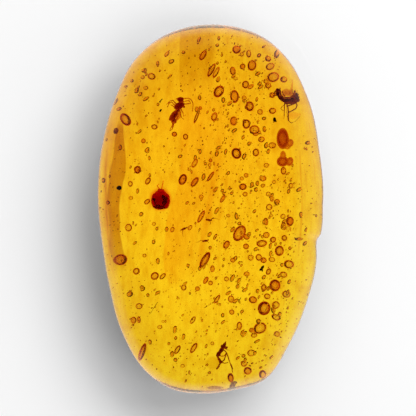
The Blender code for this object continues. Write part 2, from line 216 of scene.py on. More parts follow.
# Each flow as seen from above: its Y, left edge, right edge and depth of colour, from the top down.
# Then the shares of its width over which its colour rises and falls, and its colour.
FLOWS = {
    # Tints all but the right edge band. That band is a clearer flow, and it is left paler as a painted
    # reflection of the bright floor.
    "main": ([
        (20.5, -14, 8.4, 1), (6, -14, 9.3, 1), (-4, -14, 9.2, 1), (-9, -14, 8.4, 1),
        (-20.5, -14, 8.4, 1)], 0.01, 0.04, "fff2e8"),
    # Painted shade: a soft darkening of the left side toward both ends.
    "left_corner_shade": ([
        (20.5, -14, -3.4, 1), (10, -14, -4.2, 1), (6.8, -14, -5, 0), (-5.5, -14, -5, 0),
        (-8.5, -14, -4.4, 0.9), (-20.5, -14, -3, 0.9)], 0.01, 0.4, "eee2dc"),
    "top": ([
        (19.6, -3.3, 0.4, 0.8), (18.1, -3.5, 0.55, 1), (16.2, -3.55, 0.6, 1), (14.4, -3.5, 0.5, 0.8),
        (12.4, -3.4, 0.2, 0)], 0.06, 0.2, "dcbc58"),
    "middle": ([
        (15, -3.5, 3, 0), (11.5, -3.45, 4.6, 0.5), (8.5, -3.4, 5, 0.7), (5.3, -3.4, 5, 0.75),
        (2.3, -3.6, 4.4, 0.8), (-0.6, -4.6, 3, 0.95), (-2.8, -5, 1.6, 1), (-5.4, -5.15, 0.6, 1),
        (-7, -4.9, -0.4, 0.7), (-9, -4, -1, 0)], 0.04, 0.8, "f8d4a4"),
    "streak": ([
        (9, 0.6, 1.4, 0), (6.4, 0.4, 1.5, 0.5), (3, -0.2, 0.9, 0.7), (-1, -0.9, 0.3, 0.8),
        (-5.5, -1.6, -0.6, 0.7), (-7, -2.2, -1.4, 0)], 0.3, 0.5, "f0c890"),
    "seam": ([
        (6.4, 9.45, 9.75, 0), (5.2, 9.5, 9.85, 1), (1, 9.65, 10, 0.8), (-3.4, 9.5, 9.85, 1),
        (-5.2, 9.4, 9.7, 0)], 0.5, 0.5, "e8c070"),
    # The next three bands darken the left flank. They are partly a deeper flow and partly painted shade,
    # where the flank looks down on the shadowed floor.
    "left": ([
        (9.9, -9.86, -9.65, 0), (8.8, -10.14, -9.38, 0.9), (7.5, -10.41, -9.27, 1), (5.8, -10.57, -9.02, 1),
        (4.2, -10.9, -9.02, 1), (2.6, -11.1, -9.38, 1), (1, -11.33, -9.65, 1), (-0.7, -11.2, -9.67, 1),
        (-2.3, -11.06, -9.62, 1), (-3.9, -11, -9.32, 0.95), (-5.5, -10.68, -9.1, 0.8),
        (-6.6, -10.46, -9.27, 0.3), (-7.2, -10.3, -9.5, 0)], 0.14, 0.1, "b8862d"),
    "left_flow_and_shade_line": ([
        (7.6, -11.3, -10.8, 0), (5, -11.5, -10.9, 0.8), (2, -11.55, -11, 1), (-1, -11.5, -11, 1),
        (-5.5, -11, -10.5, 0.7), (-6.8, -10.8, -10.4, 0)], 0.5, 0.5, "d09650"),
    "left_flow_and_shade_haze": ([
        (11, -11.2, -10.2, 0), (8.8, -11.6, -9.9, 0.9), (4.2, -11.9, -10, 1), (0, -12, -10.4, 1),
        (-4, -11.8, -10, 1), (-6.5, -11.3, -9.8, 0.7), (-8, -11, -9.9, 0)], 0.35, 0.5, "e8d0a0"),
}

# Where a colour has bled into the resin, as seen from above: place, reach across and along, and colour.
STAINS = {
    "beetle": ((-5.34, 1.03), (1.42, 1.48), "e86030"),
    "wasp": ((0.27, -16.5), (0.90, 0.85), "e2c878"),
}
STAIN_EDGE = 0.36          # the outer share of a stain's reach over which it thins away
ANY_DEPTH = 1e6            # a stain's reach in depth, past all there is

# Painted shade: a thin brown line along the top and the right side, just over the girdle, where the rim is
# seen edge on.
EDGE_SHADE_TOP = 1.6             # its height over the girdle in mm
EDGE_SHADE_CORE = 0.6            # the share of that height up to which it is at its darkest
EDGE_SHADE_TILT = 0.8            # how much more it follows the right side than the top
EDGE_SHADE_REACH = (6.0, 9.0)    # from where to where it sets in

# The girdle has lost its polish in a band, from handling.
WORN = 0.9                 # reach of the band above and below the girdle, in mm
WORN_CORE = 0.2            # the share of that reach over which it is at its dullest
WORN_ROUGHNESS = 0.45


def between(stations, share):
    """The station at a share of the way along a list of stations, on a smooth curve."""
    place = share * (len(stations) - 1)
    start = min(int(place), len(stations) - 2)
    along = place - start
    before, here, there, after = (
        stations[max(0, min(len(stations) - 1, start + step))] for step in (-1, 0, 1, 2))
    return [
        0.5 * (2 * b + (c - a) * along + (2 * a - 5 * b + 4 * c - d) * along**2
               + (3 * b - a - 3 * c + d) * along**3)
        for a, b, c, d in zip(before, here, there, after)]


def station_at(stations, value):
    """Share of the way along a list of stations at which their first number falls to a value."""
    for order in range(len(stations) - 1):
        here, there = stations[order][0], stations[order + 1][0]
        if value >= there:
            return (order + (here - value) / (here - there)) / (len(stations) - 1)
    return 1.0


def curve_of(tree, value, spots):
    """A curve node through spots, each a place and a height from 0 to 1."""
    curve = add_node(tree, "ShaderNodeFloatCurve", {"Value": value})
    points = curve.mapping.curves[0].points
    points[0].location = spots[0]
    for spot in spots[1:-1]:
        points.new(*spot)
    points[-1].location = spots[-1]
    curve.mapping.update()
    return curve


def edge_ramp(tree, along, values):
    """A curve node that gives a flow's values, each from 0 to 1, along its length."""
    return curve_of(tree, along, [(order / (len(values) - 1), value) for order, value in enumerate(values)])


def blend_of(tree, low, high, value, start=0.0, end=1.0, kind="SMOOTHSTEP"):
    """A value's rise from low to high, as a rise from start to end."""
    return add_node(tree, "ShaderNodeMapRange", {
        "Value": value, "From Min": low, "From Max": high, "To Min": start, "To Max": end},
        interpolation_type=kind)


def math_node(tree, operation, *values):
    """One sum of one to three values."""
    made = add_node(tree, "ShaderNodeMath", operation=operation)
    for socket, value in zip(made.inputs, values):
        plug(tree, value, socket)
    return made


def times(tree, product, *others):
    """The product of some values."""
    for other in others:
        product = math_node(tree, "MULTIPLY", product, other)
    return product


amber, tree, shader = new_material("polished_amber", Roughness=0.02, IOR=AMBER_IOR, Transmission_Weight=1.0)
absorb(tree, (0.973, 0.92, 0.55), 300.0)
in_mm = add_node(tree, "ShaderNodeMapping", {"Vector": own_place(tree), "Scale": (1 / MM,) * 3})
x, y, z = add_node(tree, "ShaderNodeSeparateXYZ", {"Vector": in_mm}).outputs
wander = add_node(tree, "ShaderNodeTexNoise", {
    "Vector": stretched(tree, in_mm, 0.4, 0.16, 0.4), "Scale": 1.0})
wandering_x = math_node(tree, "ADD", x, times(tree, math_node(tree, "SUBTRACT", wander, 0.5), 2 * WANDER))
on_dome = blend_of(tree, GIRDLE_HEIGHT + DOME_EDGE[0], GIRDLE_HEIGHT + DOME_EDGE[1], z)
cloud = add_node(tree, "ShaderNodeTexNoise", {"Vector": in_mm, "Scale": 1 / CLOUD_WIDTH, "Detail": 3.0})
wisp = add_node(tree, "ShaderNodeTexNoise", {
    "Vector": stretched(tree, in_mm, 1.0, 0.35, 1.0), "Scale": 1 / WISP_WIDTH, "Detail": 4.0,
    "Roughness": 0.65})
wisps = mixed(tree, blend_of(tree, 0.40, 0.70, wisp), "ffffff", "ecd6a4")
clouds = mixed(tree, 1.0, mixed(tree, cloud, "ffffff", "fff0d0"), wisps, "MULTIPLY")
tint = mixed(tree, 1.0, mixed(tree, blend_of(tree, *LENGTHWISE, y), "feea3c", "fed632"), clouds, "MULTIPLY")
for stations, rise, fall, color in FLOWS.values():
    top, bottom = stations[0][0], stations[-1][0]
    count = EDGE_POINTS * len(stations)
    steps = [between(stations, station_at(stations, top + (bottom - top) * order / (count - 1)))
             for order in range(count)]
    along = blend_of(tree, top, bottom, y, kind="LINEAR")
    edges = []
    for side in (1, 2):
        ramp = edge_ramp(tree, along, [(step[side] / FIELD_REACH + 1) / 2 for step in steps])
        edges.append(math_node(tree, "MULTIPLY_ADD", ramp, 2 * FIELD_REACH, -FIELD_REACH))
    left, right = edges
    across = math_node(tree, "DIVIDE", math_node(tree, "SUBTRACT", wandering_x, left),
                       math_node(tree, "SUBTRACT", right, left))
    share = times(tree, blend_of(tree, 0.0, rise, across),
                  blend_of(tree, 0.0, fall, math_node(tree, "SUBTRACT", 1.0, across)),
                  edge_ramp(tree, along, [max(0.0, step[3]) for step in steps]), on_dome)
    tint = mixed(tree, share, tint, color, "MULTIPLY")
for (middle_x, middle_y), reach, color in STAINS.values():
    local = add_node(tree, "ShaderNodeMapping", {
        "Vector": in_mm, "Location": (middle_x, middle_y, 0.0), "Scale": (*reach, ANY_DEPTH)},
        vector_type="TEXTURE")
    distance = add_node(tree, "ShaderNodeVectorMath", {"Vector": local}, operation="LENGTH").outputs["Value"]
    share = times(tree, blend_of(tree, 1.0, 1.0 - STAIN_EDGE, distance), on_dome)
    tint = mixed(tree, share, tint, color, "MULTIPLY")
# Painted shade along the top and right rim, as a brown tint.
edge_shade = times(tree, blend_of(tree, GIRDLE_HEIGHT + EDGE_SHADE_TOP, GIRDLE_HEIGHT + EDGE_SHADE_TOP * EDGE_SHADE_CORE, z),
             on_dome, blend_of(tree, *EDGE_SHADE_REACH, math_node(tree, "ADD", x, times(tree, y, EDGE_SHADE_TILT))))
tint = mixed(tree, edge_shade, tint, "c89068", "MULTIPLY")
# The attribute skin is 1 on the pebble's outside and 0 on its bubbles, which lining makes browner.
skin = add_node(tree, "ShaderNodeAttribute", attribute_name="skin").outputs["Fac"]
lining = add_node(tree, "ShaderNodeAttribute", attribute_name="lining").outputs["Fac"]
tint = mixed(tree, skin, mixed(tree, lining, "fff8e8", "f0b070"), tint)
plug(tree, tint, shader.inputs["Base Color"])
worn = [blend_of(tree, GIRDLE_HEIGHT + side * WORN, GIRDLE_HEIGHT + side * WORN * WORN_CORE, z)
        for side in (1, -1)]
plug(tree, times(tree, *worn, skin, WORN_ROUGHNESS), shader.inputs["Roughness"])

# Gas bubbles, as seen from above through the dome: x, y, width, then length where it is another,
# and lean in degrees. Most are drawn out the way the resin ran.
BUBBLES = [
    # upper right
    (2.8, 17.2, 0.87), (3.4, 16.8, 0.43), (4.1, 16.7, 0.54, 0.87), (4.5, 15.6, 0.76, 0.98),
    (3.5, 15.5, 0.54), (6.2, 16.2, 0.65), (6.5, 15.5, 0.65), (6.8, 14.3, 0.98), (6, 13.8, 0.54),
    (6.2, 13.3, 0.65), (7.9, 14, 0.65), (6.6, 12.2, 0.65), (0.9, 12.7, 0.98, 1.3, -35),
    (2.6, 12.2, 0.87, 1.3, 5), (3.6, 11.9, 0.54), (4.2, 11, 0.87, 1.08), (5.3, 10.4, 0.65),
    (6.7, 10.6, 0.65), (0.4, 9.9, 0.65, 0.98, -20), (2.5, 9.5, 0.76, 0.98), (3.9, 9.2, 0.76, 0.98),
    (4.7, 8.5, 1.08, 0.98), (5.5, 7.5, 0.65), (3.8, 13.5, 0.65, 0.76), (2.7, 14.1, 0.43),
    (-0.8, 16.5, 0.65, 1.3, -28), (0.1, 14.9, 0.54, 1.63, -28), (0.6, 14.7, 0.5, 1.3, -28),
    # right middle
    (2.8, 6, 0.98, 1.19, 20), (4.9, 6.1, 0.65, 0.87), (6.7, 6.9, 0.65), (6, 4.7, 0.54),
    (7.8, 4.1, 0.65, 0.87), (8.6, 2.5, 0.54, 0.65), (3.8, 3.6, 0.54), (3.4, 3.3, 0.43), (3.5, 2.4, 0.76),
    (3.7, 1.6, 0.54), (5.7, 3.3, 0.65), (6.8, 2.9, 0.43), (5.6, 2.5, 0.43), (6.2, 1.6, 0.54),
    (6.6, 1.1, 0.43, 0.65), (7.2, 0.8, 0.54), (6.4, 0.2, 0.54, 0.76), (6.6, -0.7, 0.33),
    (7.8, -0.8, 0.54), (8.5, -1.3, 0.87, 0.98), (7.8, -2, 0.54, 0.76), (8.5, -2.3, 0.43, 0.54),
    (5.9, -1.4, 0.54, 0.76), (3.1, -2.6, 1.19, 1.84, -28), (3.9, -3, 0.65), (6, -2.8, 0.65),
    (6.7, -3.3, 0.65), (7.9, -3.1, 0.65), (1.7, -3.8, 0.65, 0.98, -30), (3.8, -4, 0.65),
    (5.5, -3.7, 0.76, 1.08, -80), (7.4, -4.5, 0.87, 1.08), (8.5, -4.2, 0.43),
    (-0.6, -5.5, 0.76, 1.95, -30), (2.4, -5.5, 0.54), (4.3, -5.2, 0.65), (5.2, -5.2, 0.65, 0.76),
    (5.7, -5.5, 0.65), (6.7, -5.5, 0.54), (8.5, -6, 0.76, 0.87), (1.9, -0.7, 0.43),
    (0.5, -3, 0.33, 0.76, -30),
    # lower right
    (3.9, -7, 0.54, 0.65, -70), (6.2, -6.7, 0.54, 0.76, -25), (7.9, -7.1, 0.65), (6.9, -8.2, 1.19, 1.3),
    (5.7, -8.4, 0.65, 0.76), (8.2, -9.2, 0.76), (2.2, -9.7, 0.65, 0.76), (4.6, -9.8, 0.76),
    (5.8, -10.7, 1.19, 1.52, -20), (7, -10.3, 0.87), (6.1, -9.4, 0.65), (7.1, -11.8, 0.65),
    (2.3, -11.2, 0.54), (5.4, -12.9, 0.87, 1.19, -20), (3.1, -12.6, 0.54, 0.87), (4.4, -13, 0.54),
    (4.7, -13.6, 0.54), (7.2, -13.5, 0.65), (4.4, -15.6, 0.65), (3.6, -16.7, 0.65), (4, -17.5, 0.76),
    (2.2, -18.3, 0.65, 0.76), (5.6, -17.9, 0.43, 0.76), (0.2, -14.4, 0.43), (0, -7.9, 0.54),
    (0.7, -9.7, 0.43, 1.08, -35), (0.2, -6.4, 0.54, 0.76), (1.7, -7.5, 0.54),
    # left middle
    (-7.8, 4.2, 0.76, 0.87), (-8.6, 2.7, 0.54, 0.65), (-6.7, 3, 0.54, 0.87, -28), (-8.6, 1.2, 0.43),
    (-6.9, 0.8, 0.43, 0.65, -30), (-8.8, -2, 0.76, 0.87), (-1.7, 4.9, 0.54, 1.08, -30), (-1, 1.3, 0.54),
    (0, 5.2, 0.43), (-0.1, 4.7, 0.43), (-6.1, -1.6, 0.43), (-7.1, -5, 0.43),
    (-4.1, -2.2, 0.43, 0.65, -20), (-7.2, 7.3, 0.54), (-1.1, 10.8, 0.43), (-1.5, 10, 0.33, 1.52, -22),
    (-2.2, -2, 0.43, 0.65, -35),
    # lower left
    (-8, -6.7, 0.65, 0.76), (-6, -7.2, 0.76, 0.87, -30), (-5.2, -7.3, 0.43, 0.76, -35),
    (-1.4, -8.5, 0.54), (-7.7, -10.5, 0.65), (-7.7, -11.9, 0.43, 0.76), (-1.9, -12, 0.43, 0.87, -30),
    (-1.8, -14.9, 0.54, 1.3, -30), (-3.6, -15.3, 0.43, 0.87, -25), (-5.1, -12.1, 0.33),
    (-3, -16.9, 0.43), (-2.9, -8.5, 0.54, 0.65), (-5.5, -12.8, 0.43),
    # upper left
    (-7, 13.1, 0.43), (-6.4, 14.4, 0.65), (-7.3, 14.2, 0.43), (-5.7, 15.7, 0.33, 0.54),
    (-4.7, 16.7, 0.43, 0.76, -30), (-2.7, 7.8, 0.54, 0.65), (-3.9, 8.1, 0.54), (-6.1, 8.9, 0.54),
    (-9.2, 9.7, 0.8, 1.3, 15),
]
# Flat bubbles lined with brown sap, given the same way.
LINED_BUBBLES = [
    (0, 3.5, 0.4, 1.3, -35), (-1, -0.8, 0.5, 1.55, -28), (1.3, 1.1, 0.46, 0.98, -30),
    (-3, 3.2, 0.8, 1.25, -20), (-1.7, 2.9, 0.6, 1.25, -35), (-9.8, -5.5, 0.8, 1.15, 5),
    (-8.3, -12, 0.6, 0.76), (-7.4, -15.5, 0.42, 1.75, -12), (-0.5, -7.6, 0.5, 0.9, -30),
    (4.3, 13.1, 0.45, 0.8, -50), (-8, 4.3, 0.5, 0.6), (2.4, 14.9, 0.6, 0.9, 10), (4.9, 8.2, 0.6),
]
FILM_INSIDE = Vector((0.88, 0.88, 0.97))     # inside of a bubble's brown film, as a share of its radii
FILM_GAP = Vector((0.02, 0.02, 0.02))        # between the film and the gas, as a share too
RARITY = 2.5               # the higher, the fewer bubbles are large or dark
BUBBLE_SPLITS = 3          # subdivisions of each bubble's icosphere
DEPTH_SEED = 11
DEPTH_TRIES = 200
CLEARANCE = 0.12           # between a bubble and whatever is next to it


def resin_span(x, y):
    """Lowest and highest level of the resin at x, y."""
    azimuth = (math.atan2(y, x) - azimuths[0]) % math.tau + azimuths[0]
    edges = azimuths + [azimuths[0] + math.tau]
    after = next(order for order, edge in enumerate(edges) if edge > azimuth)
    start = after - 1 + (azimuth - edges[after - 1]) / (edges[after] - edges[after - 1])
    share = min(1.0, math.hypot(x, y) / outline_at(start)[1])
    high = GIRDLE_HEIGHT + (PEBBLE_HEIGHT - GIRDLE_HEIGHT) * math.sqrt(1 - share**DOME_FULLNESS)
    inset = min(1.0, (1 - share) / (1 - BASE_SHARE))
    return GIRDLE_HEIGHT * (1 - math.sqrt(1 - (1 - inset) ** 2)), high


def under_dome(x, y, level):
    """Where a thing at a level lies when it is seen from above at x, y, by Snell's law."""
    step = 0.02                # mm to either side, to take the dome's slope
    normal = Vector((resin_span(x - step, y)[1] - resin_span(x + step, y)[1],
                     resin_span(x, y - step)[1] - resin_span(x, y + step)[1], 2 * step)).normalized()
    ratio = 1 / AMBER_IOR
    inner = math.sqrt(1 - ratio**2 * (1 - normal.z**2))
    ray = Vector((0.0, 0.0, -ratio)) + (ratio * normal.z - inner) * normal
    depth = (resin_span(x, y)[1] - level) / -ray.z
    return x + ray.x * depth, y + ray.y * depth


taken = [(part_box(name)[0] / MM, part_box(name)[1] / MM)
         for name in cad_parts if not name.startswith("amber")]
placed = []
dice = random.Random(DEPTH_SEED)


def bubble_places(bubbles, flatness, linings):
    """Give each bubble a level where it meets nothing: centre, radii, lean and lining of each."""
    start = len(placed)
    for seen_x, seen_y, width, *drawn_out in bubbles:
        length, lean = (*drawn_out, 0)[:2] if drawn_out else (width, 0)
        radii = Vector((width / 2, length / 2, (width + length) / 4 * dice.uniform(*flatness)))
        reach = max(radii) + CLEARANCE
        for _ in range(DEPTH_TRIES):
            low, high = resin_span(seen_x, seen_y)
            level = dice.uniform(low + reach, high - reach) if high - low > 2 * reach else (low + high) / 2
            centre = Vector((*under_dome(seen_x, seen_y, level), level))
            low, high = resin_span(centre.x, centre.y)
            clear = low + reach < level < high - reach
            clear = clear and all((centre - other[0]).length > reach + max(other[1]) for other in placed)
            clear = clear and not any(
                all(corner[axis] - reach < centre[axis] < far[axis] + reach for axis in range(3))
                for corner, far in taken)
            if clear:
                lining = linings[0] + (linings[1] - linings[0]) * dice.random() ** RARITY
                placed.append((centre, radii, lean, lining))
                break
    return placed[start:]


def scattered(name, places, share=Vector((1.0, 1.0, 1.0))):
    """Loose points at centres in mm, with a share of each one's radii, its lean and its lining."""
    mesh = bpy.data.meshes.new(name)
    mesh.from_pydata([place[0] * MM for place in places], [], [])
    mesh.attributes.new("radii", "FLOAT_VECTOR", "POINT")
    mesh.attributes.new("lean", "FLOAT", "POINT")
    mesh.attributes.new("lining", "FLOAT", "POINT")
    for order, (centre, radii, lean, lining) in enumerate(places):
        mesh.attributes["radii"].data[order].vector = radii * share * MM
        mesh.attributes["lean"].data[order].value = math.radians(lean)
        mesh.attributes["lining"].data[order].value = lining
    return link(name, mesh)


def new_tree(name, **sockets):
    """A geometry node tree with named inputs, and its group input and output nodes."""
    tree = bpy.data.node_groups.new(name, "GeometryNodeTree")
    tree.interface.new_socket("Geometry", in_out="INPUT", socket_type="NodeSocketGeometry")
    tree.interface.new_socket("Geometry", in_out="OUTPUT", socket_type="NodeSocketGeometry")
    for label, kind in sockets.items():
        tree.interface.new_socket(label.replace("_", " "), in_out="INPUT", socket_type="NodeSocket" + kind)
    return tree, add_node(tree, "NodeGroupInput"), tree.nodes.new("NodeGroupOutput")


def plain_mesh(obj):
    """The mesh that an object has once its modifiers or its bevel are worked out."""
    bpy.context.view_layer.update()
    return bpy.data.meshes.new_from_object(obj.evaluated_get(bpy.context.evaluated_depsgraph_get()))


def grown(obj, tree, **values):
    """The plain mesh that a geometry node tree makes from an object, with the tree's inputs set."""
    modifier = obj.modifiers.new(tree.name, "NODES")
    modifier.node_group = tree
    for item in tree.interface.items_tree:
        if item.in_out == "INPUT" and item.name.replace(" ", "_") in values:
            modifier[item.identifier] = values[item.name.replace(" ", "_")]
    mesh = plain_mesh(obj)
    obj.modifiers.remove(modifier)
    return mesh


def named(tree, name, kind="FLOAT"):
    """A node that reads an attribute of the points."""
    return add_node(tree, "GeometryNodeInputNamedAttribute", {"Name": name}, data_type=kind)


def eggs_on(tree, points, egg, radii, turn):
    """An egg of its own radii on each point, turned about Z, as real faces."""
    eggs = add_node(tree, "GeometryNodeInstanceOnPoints", {
        "Points": points, "Instance": egg, "Scale": radii,
        "Rotation": add_node(tree, "FunctionNodeEulerToRotation", {
            "Euler": add_node(tree, "ShaderNodeCombineXYZ", {"Z": turn})})})
    return add_node(tree, "GeometryNodeRealizeInstances", {"Geometry": eggs})


def flipped(tree, mesh):
    """A mesh turned inside out."""
    return add_node(tree, "GeometryNodeFlipFaces", {"Mesh": mesh})


def finish_tree(tree, geometry, given, made):
    """Give a tree's geometry its material, and send it out."""
    plug(tree, add_node(tree, "GeometryNodeSetMaterial", {
        "Geometry": geometry, "Material": given.outputs["Finish"]}), made.inputs["Geometry"])


def dress(piece, finish, slot, *nodes):
    """Give a piece its finish, and its place in the frame."""
    piece.data.materials.clear()
    piece.data.materials.append(finish)
    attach(piece, "root")
    if nodes:
        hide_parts(*nodes)


# A bubble is a closed egg whose faces point inwards, so that the gas in it is outside the resin.
bubble_tree, given, made = new_tree("gas_bubbles", Splits="Int", Finish="Material")
egg = add_node(bubble_tree, "GeometryNodeMeshIcoSphere", {
    "Radius": 1.0, "Subdivisions": given.outputs["Splits"]})
eggs = eggs_on(bubble_tree, given.outputs["Geometry"], egg, named(bubble_tree, "radii", "FLOAT_VECTOR"),
               named(bubble_tree, "lean"))
finish_tree(bubble_tree, flipped(bubble_tree, eggs), given, made)

# Pin-point bubbles and dust, scattered through the whole depth of the resin by a fixed seed. The
# field that they are scattered from says how crowded they are, and the levels of the resin there.
speck_tree, given, made = new_tree(
    "specks", Crowding="Float", Seed="Int", Smallest="Float", Largest="Float", Splits="Int",
    Hollow="Bool", Finish="Material")
dense = math_node(speck_tree, "MULTIPLY", named(speck_tree, "crowd"), given.outputs["Crowding"])
spots = add_node(speck_tree, "GeometryNodeDistributePointsOnFaces", {
    "Mesh": given.outputs["Geometry"], "Density": dense, "Seed": given.outputs["Seed"]})
level = add_node(speck_tree, "FunctionNodeRandomValue", {
    "Min": named(speck_tree, "low"), "Max": named(speck_tree, "high"), "Seed": given.outputs["Seed"]})
lifted = add_node(speck_tree, "GeometryNodeSetPosition", {
    "Geometry": spots, "Offset": add_node(speck_tree, "ShaderNodeCombineXYZ", {"Z": level})})
chance = add_node(speck_tree, "FunctionNodeRandomValue", {"Min": 0.0, "Max": 1.0, "Seed": 3})
size = blend_of(speck_tree, 0.0, 1.0, math_node(speck_tree, "POWER", chance, RARITY),
                given.outputs["Smallest"], given.outputs["Largest"], "LINEAR")
stretch = add_node(speck_tree, "FunctionNodeRandomValue", {"Min": 1.0, "Max": 2.0, "Seed": 5})
radii = add_node(speck_tree, "ShaderNodeCombineXYZ", {
    "X": size, "Y": times(speck_tree, size, stretch), "Z": size})
tilt = add_node(speck_tree, "FunctionNodeRandomValue", {"Min": -1.0, "Max": 0.1, "Seed": 8})
egg = add_node(speck_tree, "GeometryNodeMeshIcoSphere", {
    "Radius": 1.0, "Subdivisions": given.outputs["Splits"]})
eggs = eggs_on(speck_tree, lifted, egg, radii, tilt)
either = add_node(speck_tree, "GeometryNodeSwitch", {
    "Switch": given.outputs["Hollow"], "False": eggs, "True": flipped(speck_tree, eggs)},
    input_type="GEOMETRY")
finish_tree(speck_tree, either, given, made)

FIELD_SHARE = 0.9          # of the outline, that specks reach
FIELD_RINGS = 40
FIELD_COLUMNS = 6          # columns of faces to each outline point
SPECK_MARGIN = 0.5         # least depth of a speck under the resin's surface, and gap from a specimen
SPECK_LINING = 0.8
THINNING = (-5.0, 4.0)     # from where to where, rightwards, the specks grow from few to many
CLEAR_BAND = 8.9           # right of this, the last flow of resin is nearly free of bubbles
FEW, MANY, NEARLY_NONE = 0.45, 1.0, 0.12


def crowding(x, y):
    """How crowded the specks are: most right of the middle, and none by a specimen."""
    if any(corner.x - SPECK_MARGIN < x < far.x + SPECK_MARGIN
           and corner.y - SPECK_MARGIN < y < far.y + SPECK_MARGIN for corner, far in taken):
        return 0.0
    share = max(0.0, min(1.0, (x - THINNING[0]) / (THINNING[1] - THINNING[0])))
    return (FEW + (MANY - FEW) * share * share * (3 - 2 * share)) * (1.0 if x < CLEAR_BAND else NEARLY_NONE)


def speck_field():
    """A flat disc of the pebble's outline that carries how crowded and how deep the specks are."""
    # Its faces are listed one by one, because the scatter takes its random draws in their order.
    columns = len(OUTLINE) * FIELD_COLUMNS
    left_corner_shade = [(0.0, 0.0, 0.0)]
    faces = [(0, 1 + column, 1 + (column + 1) % columns) for column in range(columns)]
    for ring in range(FIELD_RINGS):
        for column in range(columns):
            azimuth, reach = outline_at(column / FIELD_COLUMNS)
            out = reach * (ring + 1) / FIELD_RINGS * FIELD_SHARE * MM
            left_corner_shade.append((math.cos(azimuth) * out, math.sin(azimuth) * out, 0.0))
            if ring > 0:
                here = 1 + ring * columns + column
                beside = 1 + ring * columns + (column + 1) % columns
                faces.append((here - columns, here, beside, beside - columns))
    mesh = bpy.data.meshes.new("speck_field")
    mesh.from_pydata(left_corner_shade, [], faces)
    for label in ("crowd", "low", "high"):
        mesh.attributes.new(label, "FLOAT", "POINT")
    for order, vert in enumerate(mesh.vertices):
        low, high = resin_span(vert.co.x / MM, vert.co.y / MM)
        mesh.attributes["crowd"].data[order].value = crowding(vert.co.x / MM, vert.co.y / MM)
        mesh.attributes["low"].data[order].value = (low + SPECK_MARGIN) * MM
        mesh.attributes["high"].data[order].value = (high - SPECK_MARGIN) * MM
    return link("speck_field", mesh)


field = speck_field()
eggs_placed = bubble_places(BUBBLES, (0.32, 0.55), (0.0, 0.9))
eggs_placed += bubble_places(LINED_BUBBLES, (0.35, 0.5), (0.5, 0.9))
points = scattered("bubble_points", eggs_placed, FILM_INSIDE - FILM_GAP)
bubbles = grown(points, bubble_tree, Splits=BUBBLE_SPLITS, Finish=amber)
bpy.data.objects.remove(points, do_unlink=True)
specks = grown(field, speck_tree, Crowding=1.7e6, Seed=4, Smallest=0.05 * MM, Largest=0.24 * MM,
               Splits=2, Hollow=True, Finish=amber)
fine_specks = grown(field, speck_tree, Crowding=4.2e6, Seed=9, Smallest=0.02 * MM, Largest=0.07 * MM,
                    Splits=1, Hollow=True, Finish=amber)

outside = polished_pebble()
bm = bmesh.new()
for piece in (outside, bubbles, specks, fine_specks):
    bm.from_mesh(piece)
joined = bpy.data.meshes.new("amber_pebble")
bm.to_mesh(joined)
bm.free()
joined.shade_smooth()
linings = [0.0] * len(outside.vertices) + [spot.value for spot in bubbles.attributes["lining"].data]
linings += [SPECK_LINING] * (len(specks.vertices) + len(fine_specks.vertices))
for label, values in (("skin", [1.0] * len(outside.vertices)), ("lining", linings)):
    if label not in joined.attributes:
        joined.attributes.new(label, "FLOAT", "POINT")
    for spot, value in zip(joined.attributes[label].data, values):
        spot.value = value
dress(link("amber_pebble", joined), amber, "amber", "amber_upper", "amber_lower")

# A brown film lines each bubble. It is thin from the front and deep along the rim, so
# that it draws each bubble with a brown ring, which is painted shade at the bubble's rim. Each film is a
# closed shell about its bubble.
film_tree, given, made = new_tree("bubble_films", Splits="Int", Inside="Vector", Finish="Material")
egg = add_node(film_tree, "GeometryNodeMeshIcoSphere", {
    "Radius": 1.0, "Subdivisions": given.outputs["Splits"]})
core = add_node(film_tree, "GeometryNodeTransform", {"Geometry": egg, "Scale": given.outputs["Inside"]})
shell = add_node(film_tree, "GeometryNodeJoinGeometry", {"Geometry": egg})
plug(film_tree, flipped(film_tree, core), shell.inputs["Geometry"])
shells = eggs_on(film_tree, given.outputs["Geometry"], shell, named(film_tree, "radii", "FLOAT_VECTOR"),
                 named(film_tree, "lean"))
finish_tree(film_tree, shells, given, made)


def film_finish(name, roughness, ior, color, density, base="ffffff"):
    """A clear film whose colour comes from its depth."""
    material, tree, _ = new_material(name, Base_Color=srgb(base), Roughness=roughness, IOR=ior,
                                     Transmission_Weight=1.0)
    absorb(tree, color, density)
    return material


# Painted shade: this film darkens the rim of each bubble.
rim_shade_film = film_finish("oxidised_resin_film", 0.0, 1.01, (0.74, 0.17, 0.0), 16000.0)
points = scattered("film_points", eggs_placed)
films = link("bubble_films", grown(points, film_tree, Splits=BUBBLE_SPLITS, Inside=FILM_INSIDE,
                                   Finish=rim_shade_film))
bpy.data.objects.remove(points, do_unlink=True)
films.data.shade_smooth()
dress(films, rim_shade_film, "resin_brown")

# ------------------------------------------------------------------ winged gnat
# A fungus gnat caught from above with its wings folded back. Its chitin has cleared to a thin
# red-brown glass in the resin, so that it is darkest where it is thickest.

CHITIN_VOXEL = 0.032       # mm, of the skin that joins the body and the limbs
CHITIN_RELIEF = 0.012      # mm, of its uneven, shrunken surface
DENTS, CREASES = 7.0, 19.0     # of that surface, in each mm
GROOVE = 0.10              # depth of the folds between abdomen rings, as a share of the radius


def add_lump(bm, centre, radii, lean=0.0, rings=0):
    """Add an ellipsoid in mm, leaning by degrees about Z, with folds across its own Y axis."""
    upright = Matrix.Rotation(math.pi / 2, 4, "X")
    leaning = Matrix.Rotation(math.radians(lean), 4, "Z")
    for vert in bmesh.ops.create_uvsphere(bm, u_segments=20, v_segments=28, radius=1.0)["verts"]:
        unit = upright @ vert.co
        fold = 1 - GROOVE * (0.5 + 0.5 * math.cos(math.tau * rings * (unit.y + 1) / 2)) if rings else 1.0
        local = Vector((unit.x * radii[0] * fold, unit.y * radii[1], unit.z * radii[2] * fold))
        vert.co = Vector(centre) + leaning @ local


